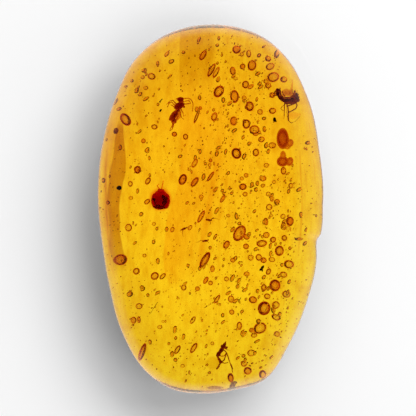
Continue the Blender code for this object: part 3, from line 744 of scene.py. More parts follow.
def limb_mesh(limbs):
    """Tapered tubes in mm, each from its joints' places and its radius at the root and the tip."""
    curve = bpy.data.curves.new("limbs", "CURVE")
    curve.dimensions = "3D"
    curve.bevel_depth = 1.0
    curve.bevel_resolution = 2
    curve.use_fill_caps = True
    for joints, root, tip in limbs:
        spline = curve.splines.new("POLY")
        spline.points.add(len(joints) - 1)
        for order, (point, joint) in enumerate(zip(spline.points, joints)):
            point.co = (*joint, 1.0)
            point.radius = root + (tip - root) * order / (len(joints) - 1)
    tubes = link("limbs", curve)
    mesh = plain_mesh(tubes)
    bpy.data.objects.remove(tubes, do_unlink=True)
    return mesh


def fused(name, lumps, limbs, place, turn=0.0, voxel=CHITIN_VOXEL, relief=CHITIN_RELIEF):
    """Join lumps and limbs in one closed body, roughen its skin, and lay it at its place in mm."""
    bm = bmesh.new()
    for lump in lumps:
        add_lump(bm, *lump)
    if limbs:
        bm.from_mesh(limb_mesh(limbs))
    mesh = bpy.data.meshes.new(name)
    bm.to_mesh(mesh)
    bm.free()
    body = link(name, mesh)
    skin = body.modifiers.new("skin", "REMESH")
    skin.mode = "VOXEL"
    skin.voxel_size = voxel
    soft = body.modifiers.new("soft", "SMOOTH")
    soft.factor = 0.5
    soft.iterations = 2
    mesh = plain_mesh(body)
    bpy.data.objects.remove(body, do_unlink=True)
    mesh.name = name
    moves = [vert.normal * relief * (noise.noise(vert.co * DENTS) + 0.5 * noise.noise(vert.co * CREASES))
             for vert in mesh.vertices]
    for vert, move in zip(mesh.vertices, moves):
        vert.co += move
    mesh.transform(Matrix.Translation(Vector(place) * MM) @ Matrix.Rotation(math.radians(turn), 4, "Z")
                   @ Matrix.Scale(MM, 4))
    mesh.shade_smooth()
    return link(name, mesh)


# Insect chitin in amber: a thin shell of red-brown glass with darker and paler plates about a
# quarter of a mm across, and fine wrinkles from its shrinking. The resin wets it, so that it bends
# light only a little.
PLATE_WIDTH = 0.25
WRINKLE_WIDTH = 0.06


def roughen(tree, shader, strength, depth, pattern):
    """Give a finish a fine relief from a pattern, with its depth in mm."""
    bump = add_node(tree, "ShaderNodeBump", {
        "Strength": strength, "Distance": depth * MM, "Height": pattern})
    plug(tree, bump, shader.inputs["Normal"])


def chitin_finish(name, pale, dark, color, density, clear=0.92):
    """A see-through chitin, with mottled plates and wrinkles."""
    material, tree, shader = new_material(name, Roughness=0.25, IOR=1.06, Transmission_Weight=clear)
    place = own_place(tree)
    plates = add_node(tree, "ShaderNodeTexVoronoi", {"Vector": place, "Scale": 1 / (PLATE_WIDTH * MM)})
    mottled = add_node(tree, "ShaderNodeMix", {
        "Factor": 0.5, "A": plates, "B": mottle(tree, place, PLATE_WIDTH, 3.0)})
    plug(tree, mixed(tree, blend_of(tree, 0.25, 0.7, mottled, kind="LINEAR"), pale, dark),
         shader.inputs["Base Color"])
    roughen(tree, shader, 0.4, 0.01, mottle(tree, place, WRINKLE_WIDTH, 2.0))
    absorb(tree, color, density)
    return material


brown_chitin = chitin_finish("cleared_brown_chitin", "f4c8a0", "b86038", (0.66, 0.10, 0.0), 6400.0)

GNAT_PLACE = (-3.3, 10.4, 5.25)
gnat = fused("winged_gnat", [
    ((0.15, 0.4, 0.05), (0.54, 0.34, 0.36), 28),         # thorax
    ((0.3, 0.52, 0.22), (0.26, 0.2, 0.16), 28),          # hump of the thorax
    ((-0.14, 0.22, 0.02), (0.26, 0.18, 0.24), 30),
    ((0.26, 1.02, 0.02), (0.33, 0.27, 0.32)),            # head
    ((0.44, 1.1, 0.06), (0.13, 0.15, 0.14), -20),        # right eye
    ((0.08, 1.1, 0.04), (0.13, 0.15, 0.14), 20),         # left eye
    ((0, 0, 0.02), (0.2, 0.3, 0.2), -35),                # waist
    ((-0.42, -0.6, -0.02), (0.31, 0.66, 0.25), -36, 7),  # abdomen
    ((-0.74, -0.98, -0.02), (0.15, 0.2, 0.14), -38),
    ((-0.42, -1.2, -0.02), (0.3, 0.26, 0.13), -25),      # crumpled tip
    ((0.62, 0.28, -0.05), (0.1, 0.14, 0.1)),             # hip
], [
    ([(0.25, 0.9, 0), (0.2, 0.6, 0.05)], 0.12, 0.15),
    ([(0.1, 1.12, 0), (-0.1, 1.1, -0.1), (-0.2, 1.02, -0.15)], 0.072, 0.043),
    ([(0.38, 1.1, 0.1), (0.75, 1.16, 0.15), (1.05, 1.17, 0.12), (1.3, 1.06, 0.1), (1.47, 0.8, 0),
      (1.52, 0.5, -0.02), (1.5, 0.15, -0.08), (1.46, -0.25, -0.1)], 0.065, 0.041),
    ([(0.4, 0.5, 0), (0.6, 0.56, 0.05), (1, 0.6, 0.04), (1.28, 0.66, 0), (1.18, 0.84, -0.08),
      (1.02, 0.86, -0.08)], 0.08, 0.043),
    ([(0.5, 0.8, 0), (0.85, 0.88, 0.05), (1.2, 0.98, 0)], 0.058, 0.036),
    ([(0, 0.5, 0), (-0.25, 0.66, 0.05), (-0.5, 0.95, 0.1), (-0.78, 0.86, 0.1), (-1.12, 0.5, -0.1)],
     0.08, 0.041),
    ([(-0.1, 0.3, 0), (-0.36, 0.5, 0), (-0.62, 0.78, 0), (-0.86, 0.62, 0), (-1.05, 0.18, -0.1)],
     0.072, 0.041),
    ([(-0.15, 0.25, 0.05), (-0.42, 0.3, 0.05), (-0.7, 0.5, 0.02)], 0.072, 0.043),
    ([(-0.5, -1.2, 0), (-0.6, -1.7, 0), (-0.86, -2.2, 0)], 0.065, 0.036),
    ([(-0.45, -1.2, 0), (-0.44, -1.65, 0), (-0.6, -2.05, 0), (-0.78, -2.2, 0)], 0.065, 0.036),
    ([(0.24, 0.2, -0.1), (0.5, -0.35, -0.2), (0.56, -0.7, -0.2), (0.8, -0.55, -0.2)], 0.065, 0.036),
    ([(0.1, 0.2, -0.1), (0.34, -0.8, -0.2), (0.62, -1.05, -0.22)], 0.058, 0.032),
], GNAT_PLACE)
dress(gnat, brown_chitin, "chitin_brown", "winged_gnat")

WING_THICKNESS = 0.04      # mm, at a vein
WING_VEINS = 5
WING_FILM = 0.35           # thickness between the veins, as a share of it
VEIN_SHARPNESS = 6         # the higher, the narrower the veins
WING_ROUNDNESS = 0.35      # the lower, the blunter a wing's two ends
WING_CURL, WING_WAVES = 0.05, 4.0      # mm that a wing waves up and down across its width, and how often
SLOPE_STEP = 0.02          # share of a wing to either side, to take its direction


def folded_wing(name, joints, widths, place, finish):
    """A thin veined wing in mm, along joints on its middle line, with its width at each."""
    bm = bmesh.new()
    bmesh.ops.create_uvsphere(bm, u_segments=20, v_segments=28, radius=1.0)
    stations = [(*joint, width) for joint, width in zip(joints, widths)]
    for vert in bm.verts:
        along = math.acos(max(-1.0, min(1.0, -vert.co.z))) / math.pi
        azimuth = math.atan2(vert.co.y, vert.co.x)
        x, y, z, width = between(stations, along)
        ahead = between(stations, min(1.0, along + SLOPE_STEP))
        behind = between(stations, max(0.0, along - SLOPE_STEP))
        forward = Vector((ahead[0] - behind[0], ahead[1] - behind[1], 0.0)).normalized()
        across = math.cos(azimuth)
        vein = abs(math.cos(across * math.pi * WING_VEINS / 2)) ** VEIN_SHARPNESS
        thickness = WING_THICKNESS * (WING_FILM + (1 - WING_FILM) * vein)
        swell = math.sin(math.pi * along) ** WING_ROUNDNESS if 0 < along < 1 else 0.0
        rise = (thickness * math.sin(azimuth) + WING_CURL * math.sin(across * WING_WAVES)) * swell
        vert.co = (Vector((x, y, z)) + Vector((forward.y, -forward.x, 0.0)) * width * across * swell
                   + Vector((0.0, 0.0, rise)))
    mesh = mesh_from(name, bm)
    mesh.transform(Matrix.Translation(Vector(place) * MM) @ Matrix.Scale(MM, 4))
    dress(link(name, mesh), finish, "chitin_brown")


# Wing film: two layers of chitin a few thousandths of a mm thick, stained amber brown, on a net
# of darker veins. It is drawn thicker than life, so that it shows.
wing_film, tree, shader = new_material("stained_wing_film", Roughness=0.1, IOR=1.03,
                                       Transmission_Weight=0.95)
plug(tree, mixed(tree, mottle(tree, own_place(tree), 0.4, 4.0), "ffe0b0", "d08040"),
     shader.inputs["Base Color"])
absorb(tree, (0.55, 0.15, 0.0), 9000.0)
pale_film = film_finish("pale_wing_film", 0.1, 1.03, (0.80, 0.40, 0.0), 4000.0, "fff0d0")

folded_wing("gnat_right_wing", [
    (0.2, 0.05, 0.25), (0.16, -0.35, 0.26), (0.02, -0.8, 0.24), (-0.22, -1.2, 0.2),
], [0.06, 0.17, 0.20, 0.06], GNAT_PLACE, wing_film)
folded_wing("gnat_left_wing", [
    (0.05, 0.05, 0.3), (-0.1, -0.4, 0.32), (-0.32, -0.9, 0.28), (-0.6, -1.3, 0.2),
], [0.06, 0.20, 0.26, 0.07], GNAT_PLACE, wing_film)

# ------------------------------------------------------------------ curled fly
# A darker fly that curled up as it drowned: head and tail meet round its crumpled wings, and its
# legs hang below. Its chitin is thick and maroon black.

black_chitin = chitin_finish("dense_black_chitin", "e0b090", "804030", (0.54, 0.06, 0.0), 9500.0, 0.94)

FLY_PLACE = (7.6, 11.6, 5.15)
fly = fused("curled_gnat", [
    ((-1.01, 0.8, 0), (0.19, 0.18, 0.16)),
    ((-0.76, 0.98, 0.05), (0.07, 0.08, 0.07)),  # eye
    ((-1, 0.42, 0), (0.19, 0.3, 0.22), 8, 3),
    ((-0.72, -0.02, 0), (0.2, 0.34, 0.22), 52, 3),
    ((-0.22, -0.26, 0), (0.4, 0.18, 0.22), -4, 4),
    ((0.42, -0.18, 0), (0.44, 0.19, 0.22), 8, 4),
    ((0.92, 0.04, 0), (0.3, 0.22, 0.22), 40, 3),
    ((0.92, 0.34, 0.05), (0.2, 0.3, 0.18), -8, 3),
    ((0.68, 0.12, 0.1), (0.16, 0.16, 0.14)),
    ((1.02, -0.2, -0.05), (0.14, 0.2, 0.16), 10),
], [
    ([(-0.8, 0.89, 0.14), (-0.69, 0.32, 0.16), (-0.46, 0.02, 0.16), (-0.1, 0.06, 0.16), (0.28, 0.1, 0.16),
      (0.62, 0.4, 0.16), (0.74, 0.86, 0.14)], 0.1, 0.08),
    ([(-0.4, -0.52, -0.12), (-0.05, -0.55, -0.12), (0.3, -0.49, -0.12), (0.78, -0.38, -0.12),
      (1.15, -0.1, -0.1)], 0.125, 0.12),
    ([(-0.33, -0.54, -0.12), (-0.36, -0.3, -0.05)], 0.1, 0.1),
    ([(-0.06, -0.82, -0.12), (0.2, -0.74, -0.12), (0.46, -0.64, -0.12), (0.8, -0.5, -0.12)], 0.07, 0.06),
    ([(-0.55, 0.7, 0.1), (-0.48, 0.34, 0.14), (-0.28, 0.18, 0.16)], 0.045, 0.05),
    ([(-0.96, 0.2, 0.16), (-0.62, -0.14, 0.18), (-0.16, -0.16, 0.18), (0.36, -0.04, 0.18),
      (0.78, 0.3, 0.18)], 0.085, 0.1),
    ([(-0.9, -0.06, -0.14), (-0.54, -0.36, -0.12), (-0.1, -0.38, -0.12), (0.4, -0.3, -0.12),
      (0.98, -0.02, -0.12)], 0.09, 0.11),
    ([(0.7, 0.3, 0.12), (0.83, 0.7, 0.1), (0.84, 1.02, 0.08)], 0.045, 0.025),
    ([(0.86, 0.2, 0.1), (0.99, 0.64, 0.1), (1.06, 0.94, 0.08)], 0.045, 0.025),
    ([(1, 0.05, 0), (1.13, 0.42, 0.05), (1.24, 0.68, 0.05)], 0.05, 0.025),
    ([(1.06, -0.05, 0), (1.22, 0.12, 0.05), (1.26, 0.34, 0.05)], 0.045, 0.025),
    ([(0.56, 0.36, 0.1), (0.48, 0.72, 0.1), (0.5, 1, 0.08)], 0.05, 0.03),
    ([(-0.36, -0.5, 0), (-0.4, -0.82, -0.1), (-0.41, -1.39, -0.1), (-0.43, -2.19, -0.1)], 0.07, 0.035),
    ([(-0.4, -0.72, -0.1), (-0.62, -0.9, -0.1), (-0.75, -1.1, -0.1), (-0.6, -1.28, -0.1),
      (-0.44, -1.33, -0.1)], 0.045, 0.035),
    ([(-0.2, -0.5, 0), (-0.06, -1.02, -0.05), (-0.01, -1.51, -0.05), (-0.02, -1.95, 0),
      (0.02, -2.36, 0)], 0.06, 0.075),
    ([(-0.01, -1.51, -0.05), (0.25, -1.39, 0), (0.73, -1.11, 0), (0.88, -0.8, 0), (0.8, -0.46, -0.05)],
     0.06, 0.07),
    ([(0.02, -2.36, 0), (0.28, -2.62, 0), (0.7, -2.42, 0), (1.25, -1.78, 0)], 0.05, 0.02),
    ([(-0.2, -0.75, -0.1), (-0.18, -1.6, -0.12), (-0.12, -2.2, -0.12)], 0.03, 0.02),
], FLY_PLACE, voxel=0.028)
dress(fly, black_chitin, "chitin_black", "curled_gnat")
# Its crumpled wings fill the bend of its body, stained brown, and the edge of one stands above it.
stained_film = film_finish("brown_stained_film", 0.0, 1.02, (0.75, 0.40, 0.0), 11000.0)
crumpled = fused("fly_crumpled_wings", [
    ((-0.14, 0.52, -0.04), (0.56, 0.34, 0.09), -6),
    ((-0.4, 0.3, -0.02), (0.26, 0.2, 0.1), 30),
    ((0.28, 0.5, 0.02), (0.24, 0.38, 0.1)),
], [
    ([(-0.56, 0.74, 0), (-0.2, 0.92, 0), (0.14, 0.88, 0.02), (0.4, 0.98, 0)], 0.05, 0.05),
], FLY_PLACE, voxel=0.026, relief=0.03)
dress(crumpled, stained_film, "chitin_brown")
raised = fused("fly_raised_wing", [], [
    ([(0.38, 0.8, 0.05), (0.4, 1.15, 0.06), (0.54, 1.6, 0.04), (0.5, 2, 0)], 0.12, 0.07),
], FLY_PLACE, voxel=0.026)
dress(raised, pale_film, "chitin_brown")
folded_wing("fly_lower_wing", [
    (0.05, -1.6, 0), (0.35, -1.8, 0.02), (0.8, -1.75, 0.02), (1.3, -1.65, 0),
], [0.20, 0.42, 0.30, 0.08], FLY_PLACE, pale_film)

# ------------------------------------------------------------------ red beetle
# A round leaf beetle, sealed with its wing cases shut. They are ruby red and let the dark belly
# and legs show through, and their colour has bled into the resin round them.

BEETLE_PLACE = (-5.05, 0.95, 5.25)
PIT_WIDTH = 0.16           # mm, of the pits in its wing cases
ruby, tree, shader = new_material("ruby_wing_case", Roughness=0.12, IOR=1.10, Transmission_Weight=0.97)
place = own_place(tree)
pits = add_node(tree, "ShaderNodeTexVoronoi", {"Vector": place, "Scale": 1 / (PIT_WIDTH * MM)})
roughen(tree, shader, 0.5, 0.02, pits)
blotch = blend_of(tree, 0.4, 0.65, mottle(tree, place, 0.7, 4.0), kind="LINEAR")
plug(tree, mixed(tree, blotch, "ffb0a0", "e04838"), shader.inputs["Base Color"])
absorb(tree, (0.78, 0.05, 0.04), 6000.0)
beetle = fused("red_beetle", [
    ((-0.1, -0.08, 0), (0.8, 0.92, 0.5)),
    ((0.14, -0.06, 0.04), (0.78, 0.86, 0.5)),
    ((-0.36, -0.46, 0), (0.44, 0.46, 0.4)),
    ((0.42, -0.5, 0), (0.4, 0.42, 0.4)),
    ((-0.4, 0.36, 0), (0.42, 0.42, 0.4)),
    ((0.46, 0.3, 0), (0.42, 0.42, 0.4)),
    ((0.02, 0.74, -0.04), (0.54, 0.3, 0.38)),
    ((0.04, 0.98, -0.08), (0.3, 0.2, 0.24)),
    ((-0.2, 1.06, -0.02), (0.1, 0.1, 0.1)),
    ((0.26, 1.06, -0.02), (0.1, 0.1, 0.1)),
], [
    ([(0.1, 1.05, 0), (0.12, 1.35, 0.05), (0.2, 1.7, 0.08), (0.26, 2.05, 0.1)], 0.065, 0.045),
    ([(0, 1.05, 0), (-0.22, 1.3, 0.05), (-0.34, 1.52, 0.05), (-0.14, 1.7, 0.05)], 0.065, 0.045),
], BEETLE_PLACE, relief=0.02)
dress(beetle, ruby, "ruby_red", "red_beetle")

green_black = chitin_finish("green_black_belly", "d0d8b0", "98a080", (0.50, 0.46, 0.24), 2200.0, 0.86)
belly = fused("beetle_belly", [
    ((0.4, -0.1, -0.62), (0.2, 0.46, 0.12), -18),
    ((0.26, 0.28, -0.62), (0.16, 0.22, 0.1), 20),
    ((-0.3, -0.62, -0.58), (0.34, 0.16, 0.12), 30),
    ((0.16, -0.74, -0.56), (0.36, 0.2, 0.12), -12),
    ((-0.52, 0.06, -0.6), (0.13, 0.16, 0.1)),
], [
    ([(0.3, 0.3, -0.6), (0.4, 0, -0.62), (0.42, -0.4, -0.62), (0.2, -0.7, -0.58)], 0.08, 0.08),
    ([(0.2, -0.7, -0.58), (-0.1, -0.74, -0.58), (-0.4, -0.55, -0.58), (-0.52, 0, -0.6)], 0.07, 0.06),
], BEETLE_PLACE)
dress(belly, green_black, "chitin_black")

# ------------------------------------------------------------------ slender wasp
# A thin ant-like wasp, bent double at the neck, with long legs trailing on its right. It lies
# near the lower end, in clear resin that it has stained a little.

WASP_PLACE = (1.05, -15.2, 5.2)
wasp = fused("slender_wasp", [
    ((-0.26, 0.16, 0), (0.23, 0.33, 0.21), -34, 3),
    ((0.02, 0.56, 0), (0.23, 0.36, 0.21), -34, 3),
    ((0.28, 0.98, 0), (0.2, 0.42, 0.18), -30, 5),
    ((0.42, 1.28, 0), (0.08, 0.2, 0.09), -25),
    ((0.08, 0.94, 0.05), (0.13, 0.17, 0.12)),
    ((0.52, 0.8, 0), (0.21, 0.13, 0.12), 30),
    ((0.36, 0.82, 0.02), (0.16, 0.12, 0.1), 10),
    ((-0.4, -0.06, 0), (0.1, 0.12, 0.1)),
    ((-0.04, -0.66, 0), (0.2, 0.16, 0.15)),
    ((-0.28, -1.18, 0), (0.08, 0.24, 0.09), -36),
], [
    ([(-0.36, 0.05, 0), (-0.38, -0.12, 0), (-0.2, -0.34, 0), (-0.02, -0.6, 0)], 0.11, 0.1),
    ([(-0.02, -0.7, 0), (-0.2, -0.95, 0), (-0.32, -1.2, 0), (-0.5, -1.42, 0)], 0.08, 0.09),
    ([(0.585, 0.3, 0.1), (0.45, -0.1, 0.1), (0.31, -0.455, 0.08), (0.01, -0.705, 0)], 0.06, 0.07),
    ([(0.2, 0.62, 0.05), (0.42, 0.44, 0.1), (0.6, 0.22, 0.1)], 0.065, 0.06),
    ([(0.6, 0.22, 0), (0.78, -0.35, -0.05), (0.975, -0.878, -0.1), (1.15, -1.25, 0), (1.14, -1.5, 0),
      (1.19, -1.8, 0)], 0.065, 0.045),
    ([(0.99, -0.9, -0.1), (1.1, -1.15, -0.05), (1.17, -1.4, 0)], 0.095, 0.085),
    ([(0.01, -0.705, 0), (0.38, -0.79, 0), (0.735, -0.705, 0)], 0.06, 0.045),
    ([(-0.29, 0.05, 0), (0.05, -0.08, 0.1), (0.31, -0.05, 0.1), (0.54, 0.26, 0.1)], 0.06, 0.05),
    ([(-0.36, -0.3, 0), (-0.2, -0.55, 0), (-0.02, -0.66, 0)], 0.06, 0.06),
    ([(0.2, 0.82, 0.1), (0.44, 0.7, 0.12), (0.7, 0.55, 0.1)], 0.045, 0.03),
    ([(0.35, 0.75, 0), (0.62, 0.6, 0), (0.95, 0.55, 0)], 0.035, 0.025),
], WASP_PLACE, voxel=0.026)
wasp_chitin = chitin_finish("maroon_chitin", "e8b090", "904838", (0.56, 0.07, 0.0), 9000.0)
dress(wasp, wasp_chitin, "chitin_brown", "slender_wasp")

# ------------------------------------------------------------------ midges
# Three biting midges under a millimetre and a half long, with thread-like legs. Each is one body
# with one wing over its back.

MIDGE_VOXEL = 0.02
MIDGES = [
    ("midge_left", (-2.7, -2.1, 5.1), 20, [
        ([(0, 0, 0), (-0.22, -0.14, 0), (-0.34, -0.4, 0), (-0.4, -0.78, 0)], 0.04, 0.024),
        ([(-0.1, 0, 0), (-0.42, 0.02, 0.02), (-0.52, -0.16, 0)], 0.04, 0.024),
        ([(0.2, 0.02, 0), (0.4, 0.02, 0.03), (0.5, 0.12, 0)], 0.05, 0.03)]),
    ("midge_middle", (-0.15, -1.2, 5.3), -10, [
        ([(0.1, 0, 0), (0.26, 0.22, 0), (0.62, 0.32, 0), (1.08, 0.26, 0)], 0.04, 0.024),
        ([(0, 0, 0), (0.22, -0.22, 0), (0.18, -0.48, 0)], 0.04, 0.024),
        ([(0.2, 0.05, 0), (0.3, 0.28, 0.02), (0.46, 0.36, 0)], 0.05, 0.035),
        ([(-0.2, 0, 0), (-0.34, 0.16, 0), (-0.42, 0.34, 0)], 0.035, 0.022)]),
    ("midge_lower", (-0.5, -3.4, 5.0), 5, [
        ([(-0.2, 0, 0), (-0.55, 0.1, 0), (-0.8, -0.04, 0), (-1.05, -0.1, 0)], 0.04, 0.022),
        ([(0.1, 0, 0), (0.26, -0.18, 0), (0.34, -0.26, 0)], 0.04, 0.024),
        ([(0.1, 0, 0), (0.24, 0.16, 0.02), (0.36, 0.12, 0)], 0.035, 0.022)]),
]
for name, middle, turn, legs in MIDGES:
    midge = fused(name, [
        ((0, 0, 0), (0.17, 0.11, 0.11)),
        ((0.2, 0.03, 0), (0.09, 0.08, 0.08)),
        ((0.25, 0.07, 0.04), (0.05, 0.05, 0.05)),
        ((-0.22, -0.03, 0), (0.17, 0.07, 0.08)),
        ((-0.12, 0.05, 0.1), (0.28, 0.08, 0.03), 8),
    ], legs, middle, turn, MIDGE_VOXEL, 0.006)
    dress(midge, wasp_chitin, "chitin_black", name)

# ------------------------------------------------------------------ brown drops
# Two drops of dark tree sap that the resin took in, one tall and one round, each with a lobe at
# its right. Each is a skin of brown glass about a clear middle, so that its rim is darker.

drop_finish, tree, shader = new_material("dark_tree_sap", Roughness=0.02, IOR=1.06, Transmission_Weight=1.0)
streak = mottle(tree, stretched(tree, own_place(tree), 1.0, 0.2, 1.0), 0.3, 3.0)
plug(tree, mixed(tree, blend_of(tree, 0.35, 0.65, streak, kind="LINEAR"), "fffaf0", "f8e8d8"),
     shader.inputs["Base Color"])
absorb(tree, (0.76, 0.36, 0.0), 6300.0)

DROP_HOLLOW = 0.60         # inside of a drop's dark skin, as a share of its size
DROP_VOXEL = 0.05


def hollow_drop(name, lumps, place):
    """A drop of lumps in mm: a smooth skin of sap with a hollow in it."""
    outer = fused(name, lumps, [], place, voxel=DROP_VOXEL, relief=0.0)
    inner = fused("hollow", [(centre, [half * DROP_HOLLOW for half in radii], lean)
                             for centre, radii, lean in lumps], [], place, voxel=DROP_VOXEL, relief=0.0)
    inner.data.flip_normals()
    bm = bmesh.new()
    bm.from_mesh(outer.data)
    bm.from_mesh(inner.data)
    bm.to_mesh(outer.data)
    bm.free()
    bpy.data.objects.remove(inner, do_unlink=True)
    outer.data.shade_smooth()
    return outer


tall = hollow_drop("brown_drop_tall", [
    ((0, -0.06, 0), (0.57, 1.1, 0.48), 0),
    ((0.68, -0.5, 0), (0.32, 0.44, 0.28), -8),
    ((0.44, -0.96, 0), (0.26, 0.22, 0.2), 30),
], (7.1, 7.45, 5.3))
dress(tall, drop_finish, "resin_brown", "brown_drop_tall")
low = hollow_drop("brown_drop_round", [
    ((-0.04, -0.18, 0), (0.54, 0.56, 0.44), 0),
    ((0, 0.4, 0), (0.28, 0.56, 0.24), 0),
    ((0.62, -0.2, 0), (0.34, 0.5, 0.3), -10),
], (7.1, 5.2, 5.1))
dress(low, drop_finish, "resin_brown", "brown_drop_round")

# ------------------------------------------------------------------ bark, leaf scale and dust
# What the wind blew on the sticky resin: a chip of purple-brown bark and a leaf scale at the
# lower end, five larger grains, a few splinters, and dust all through.

bark, tree, shader = new_material("soaked_bark_chip", Roughness=0.4, IOR=1.04, Transmission_Weight=0.9)
grain = mottle(tree, stretched(tree, own_place(tree), 1.0, 0.3, 1.0), 0.12, 5.0)
plug(tree, mixed(tree, blend_of(tree, 0.35, 0.65, grain, kind="LINEAR"), "e0d0d0", "806070"),
     shader.inputs["Base Color"])
roughen(tree, shader, 0.6, 0.02, grain)
absorb(tree, (0.60, 0.25, 0.35), 3000.0)
chip = fused("bark_flake", [
    ((0, -0.1, 0), (0.32, 0.4, 0.22), -15),
    ((-0.14, -0.28, 0), (0.22, 0.2, 0.18), -40),
    ((0.12, 0.34, 0.05), (0.36, 0.13, 0.16), 6),
    ((0.34, 0.3, 0.05), (0.16, 0.14, 0.14)),
], [], (2.26, -18.45, 5.0), relief=0.05)
dress(chip, bark, "bark_purple", "bark_flake")

leaf, tree, shader = new_material("olive_leaf_scale", Roughness=0.35, IOR=1.04, Transmission_Weight=0.95)
veins = add_node(tree, "ShaderNodeTexWave", {
    "Vector": own_place(tree), "Scale": 1 / (1.2 * MM), "Distortion": 3.0, "Detail": 3.0})
plug(tree, mixed(tree, veins, "f4e8b0", "e0c070"), shader.inputs["Base Color"])
absorb(tree, (0.70, 0.50, 0.0), 6500.0)
scale = fused("leaf_scale", [
    ((0, 0, 0), (0.9, 0.26, 0.09)),
    ((-0.16, 0.02, 0), (0.66, 0.3, 0.1), 3),
    ((0.24, -0.01, 0), (0.58, 0.28, 0.1), -3),
], [], (0.45, -18.78, 5.1), -2, 0.03, 0.004)
dress(scale, leaf, "leaf_olive", "leaf_scale")

soil = chitin_finish("peaty_grain", "a08878", "503020", (0.20, 0.06, 0.0), 9000.0, 0.7)
GRAINS = [
    ("grain_left", (0.26, 0.20, 0.18), (-8.9, 2.25, 5.2), 20, "chitin_black"),
    ("grain_right", (0.14, 0.24, 0.15), (6.3, 9.35, 5.2), 0, "chitin_black"),
    ("grain_middle", (0.20, 0.16, 0.15), (4.2, 8.1, 5.2), 30, "chitin_black"),
    ("grain_edge", (0.28, 0.33, 0.24), (-9.3, 8.2, 5.2), -20, "bark_purple"),
    ("grain_low", (0.12, 0.36, 0.12), (5.1, -6.2, 5.2), -35, "chitin_black"),
]
husk = chitin_finish("brown_husk", "f0d0a0", "a07040", (0.50, 0.16, 0.0), 3600.0, 0.95)
for name, radii, middle, turn, slot in GRAINS:
    lump = fused(name, [
        ((0, 0, 0), radii),
        ((0.06, -0.08, 0), [half * 0.8 for half in radii], 40),
    ], [], middle, turn, 0.024, 0.035)
    dress(lump, husk if slot == "bark_purple" else soil, slot, name)

# Splinters, as seen from above: their two ends and level.
SPLINTERS = [
    ((-5.7, -10), (-6.6, -11.4), 5.6, 0.035), ((3, -10), (3.3, -9.5), 5, 0.05),
    ((-5.5, 11.5), (-5.2, 11.9), 5.4, 0.07), ((-5.45, 10.5), (-5.3, 10.75), 5.3, 0.1),
    ((2.95, -11.2), (3, -11.5), 5.2, 0.06), ((-1.05, -1.6), (-1.75, -4.2), 6.4, 0.02),
]
splinters = []
for (x, y), (far_x, far_y), level, radius in SPLINTERS:
    root = (*under_dome(x, y, level), level)
    tip = (*under_dome(far_x, far_y, level), level + 0.2)
    splinters.append(([root, tip], radius, radius * 0.7))
splinter = fused("splinters", [], splinters, (0.0, 0.0, 0.0), 0.0, 0.03, 0.02)
dress(splinter, soil, "chitin_black")

dust_finish = chitin_finish("brown_resin_dust", "e8b888", "a06030", (0.50, 0.16, 0.0), 13000.0, 0.95)
dust = link("dust", grown(field, speck_tree, Crowding=2.4e6, Seed=21, Smallest=0.010 * MM,
                          Largest=0.075 * MM, Splits=1, Hollow=False, Finish=dust_finish))
dust.data.shade_smooth()
dress(dust, dust_finish, "chitin_brown")
bpy.data.objects.remove(field, do_unlink=True)

# ------------------------------------------------------------------ light pad, floor, lamps and camera
# The pebble lies on a small light pad of its own outline, on a plain pale floor, as it would on a
# bench for a collection's catalogue. A large soft lamp stands to its upper right.

PAD_REACH = 1.12           # as a share of the pebble's outline, with what light spills past it
PAD_GLOW = 1.17
PAD_RINGS = 40
PAD_SINK, FLOOR_SINK = 0.02, 0.06      # mm under the pebble's base
# The light that the pad gives off, from its middle to PAD_REACH: place and brightness.
PAD_FADE = [
    (0, 1), (0.45, 1), (0.68, 0.89), (0.8, 0.82), (0.89, 0.76), (0.896, 0.05), (0.93, 0.02), (1, 0)]
columns = len(OUTLINE) * PEBBLE_COLUMNS
bm = bmesh.new()
bmesh.ops.create_uvsphere(bm, u_segments=columns, v_segments=PAD_RINGS * 2, radius=1.0)
bmesh.ops.delete(bm, geom=[vert for vert in bm.verts if vert.co.z < -0.001], context="VERTS")
shares = []
for vert in bm.verts:
    column = math.atan2(vert.co.y, vert.co.x) / math.tau * columns
    azimuth, reach = outline_at(round(column) / PEBBLE_COLUMNS)
    share = math.acos(max(0.0, min(1.0, vert.co.z))) / (math.pi / 2)
    shares.append(share)
    flat = Vector((math.cos(azimuth), math.sin(azimuth), 0.0)) * reach * share * PAD_REACH
    vert.co = (flat - Vector((0.0, 0.0, PAD_SINK))) * MM
mesh = mesh_from("light_pad", bm)
mesh.attributes.new("share", "FLOAT", "POINT").data.foreach_set("value", shares)
pad = link("light_pad", mesh)
pad_finish, tree, shader = new_material("frosted_light_pad", Base_Color=srgb("f6f6f6"), Roughness=0.9,
                                        Specular_IOR_Level=0.2, Emission_Color=srgb("ffffff"))
share = add_node(tree, "ShaderNodeAttribute", attribute_name="share").outputs["Fac"]
fade = curve_of(tree, share, PAD_FADE)
for point in fade.mapping.curves[0].points:
    point.handle_type = "VECTOR"
fade.mapping.update()
plug(tree, times(tree, fade, PAD_GLOW), shader.inputs["Emission Strength"])
mesh.materials.append(pad_finish)

bpy.ops.mesh.primitive_plane_add(size=4.0, location=(0, 0, -FLOOR_SINK * MM))
floor = bpy.context.object
floor.name = "floor"
floor_finish, _, _ = new_material("pale_floor", Base_Color=srgb("f6f6f6"), Roughness=0.9,
                                  Specular_IOR_Level=0.2)
floor.data.materials.append(floor_finish)
floor.visible_glossy = False
pad.visible_glossy = False

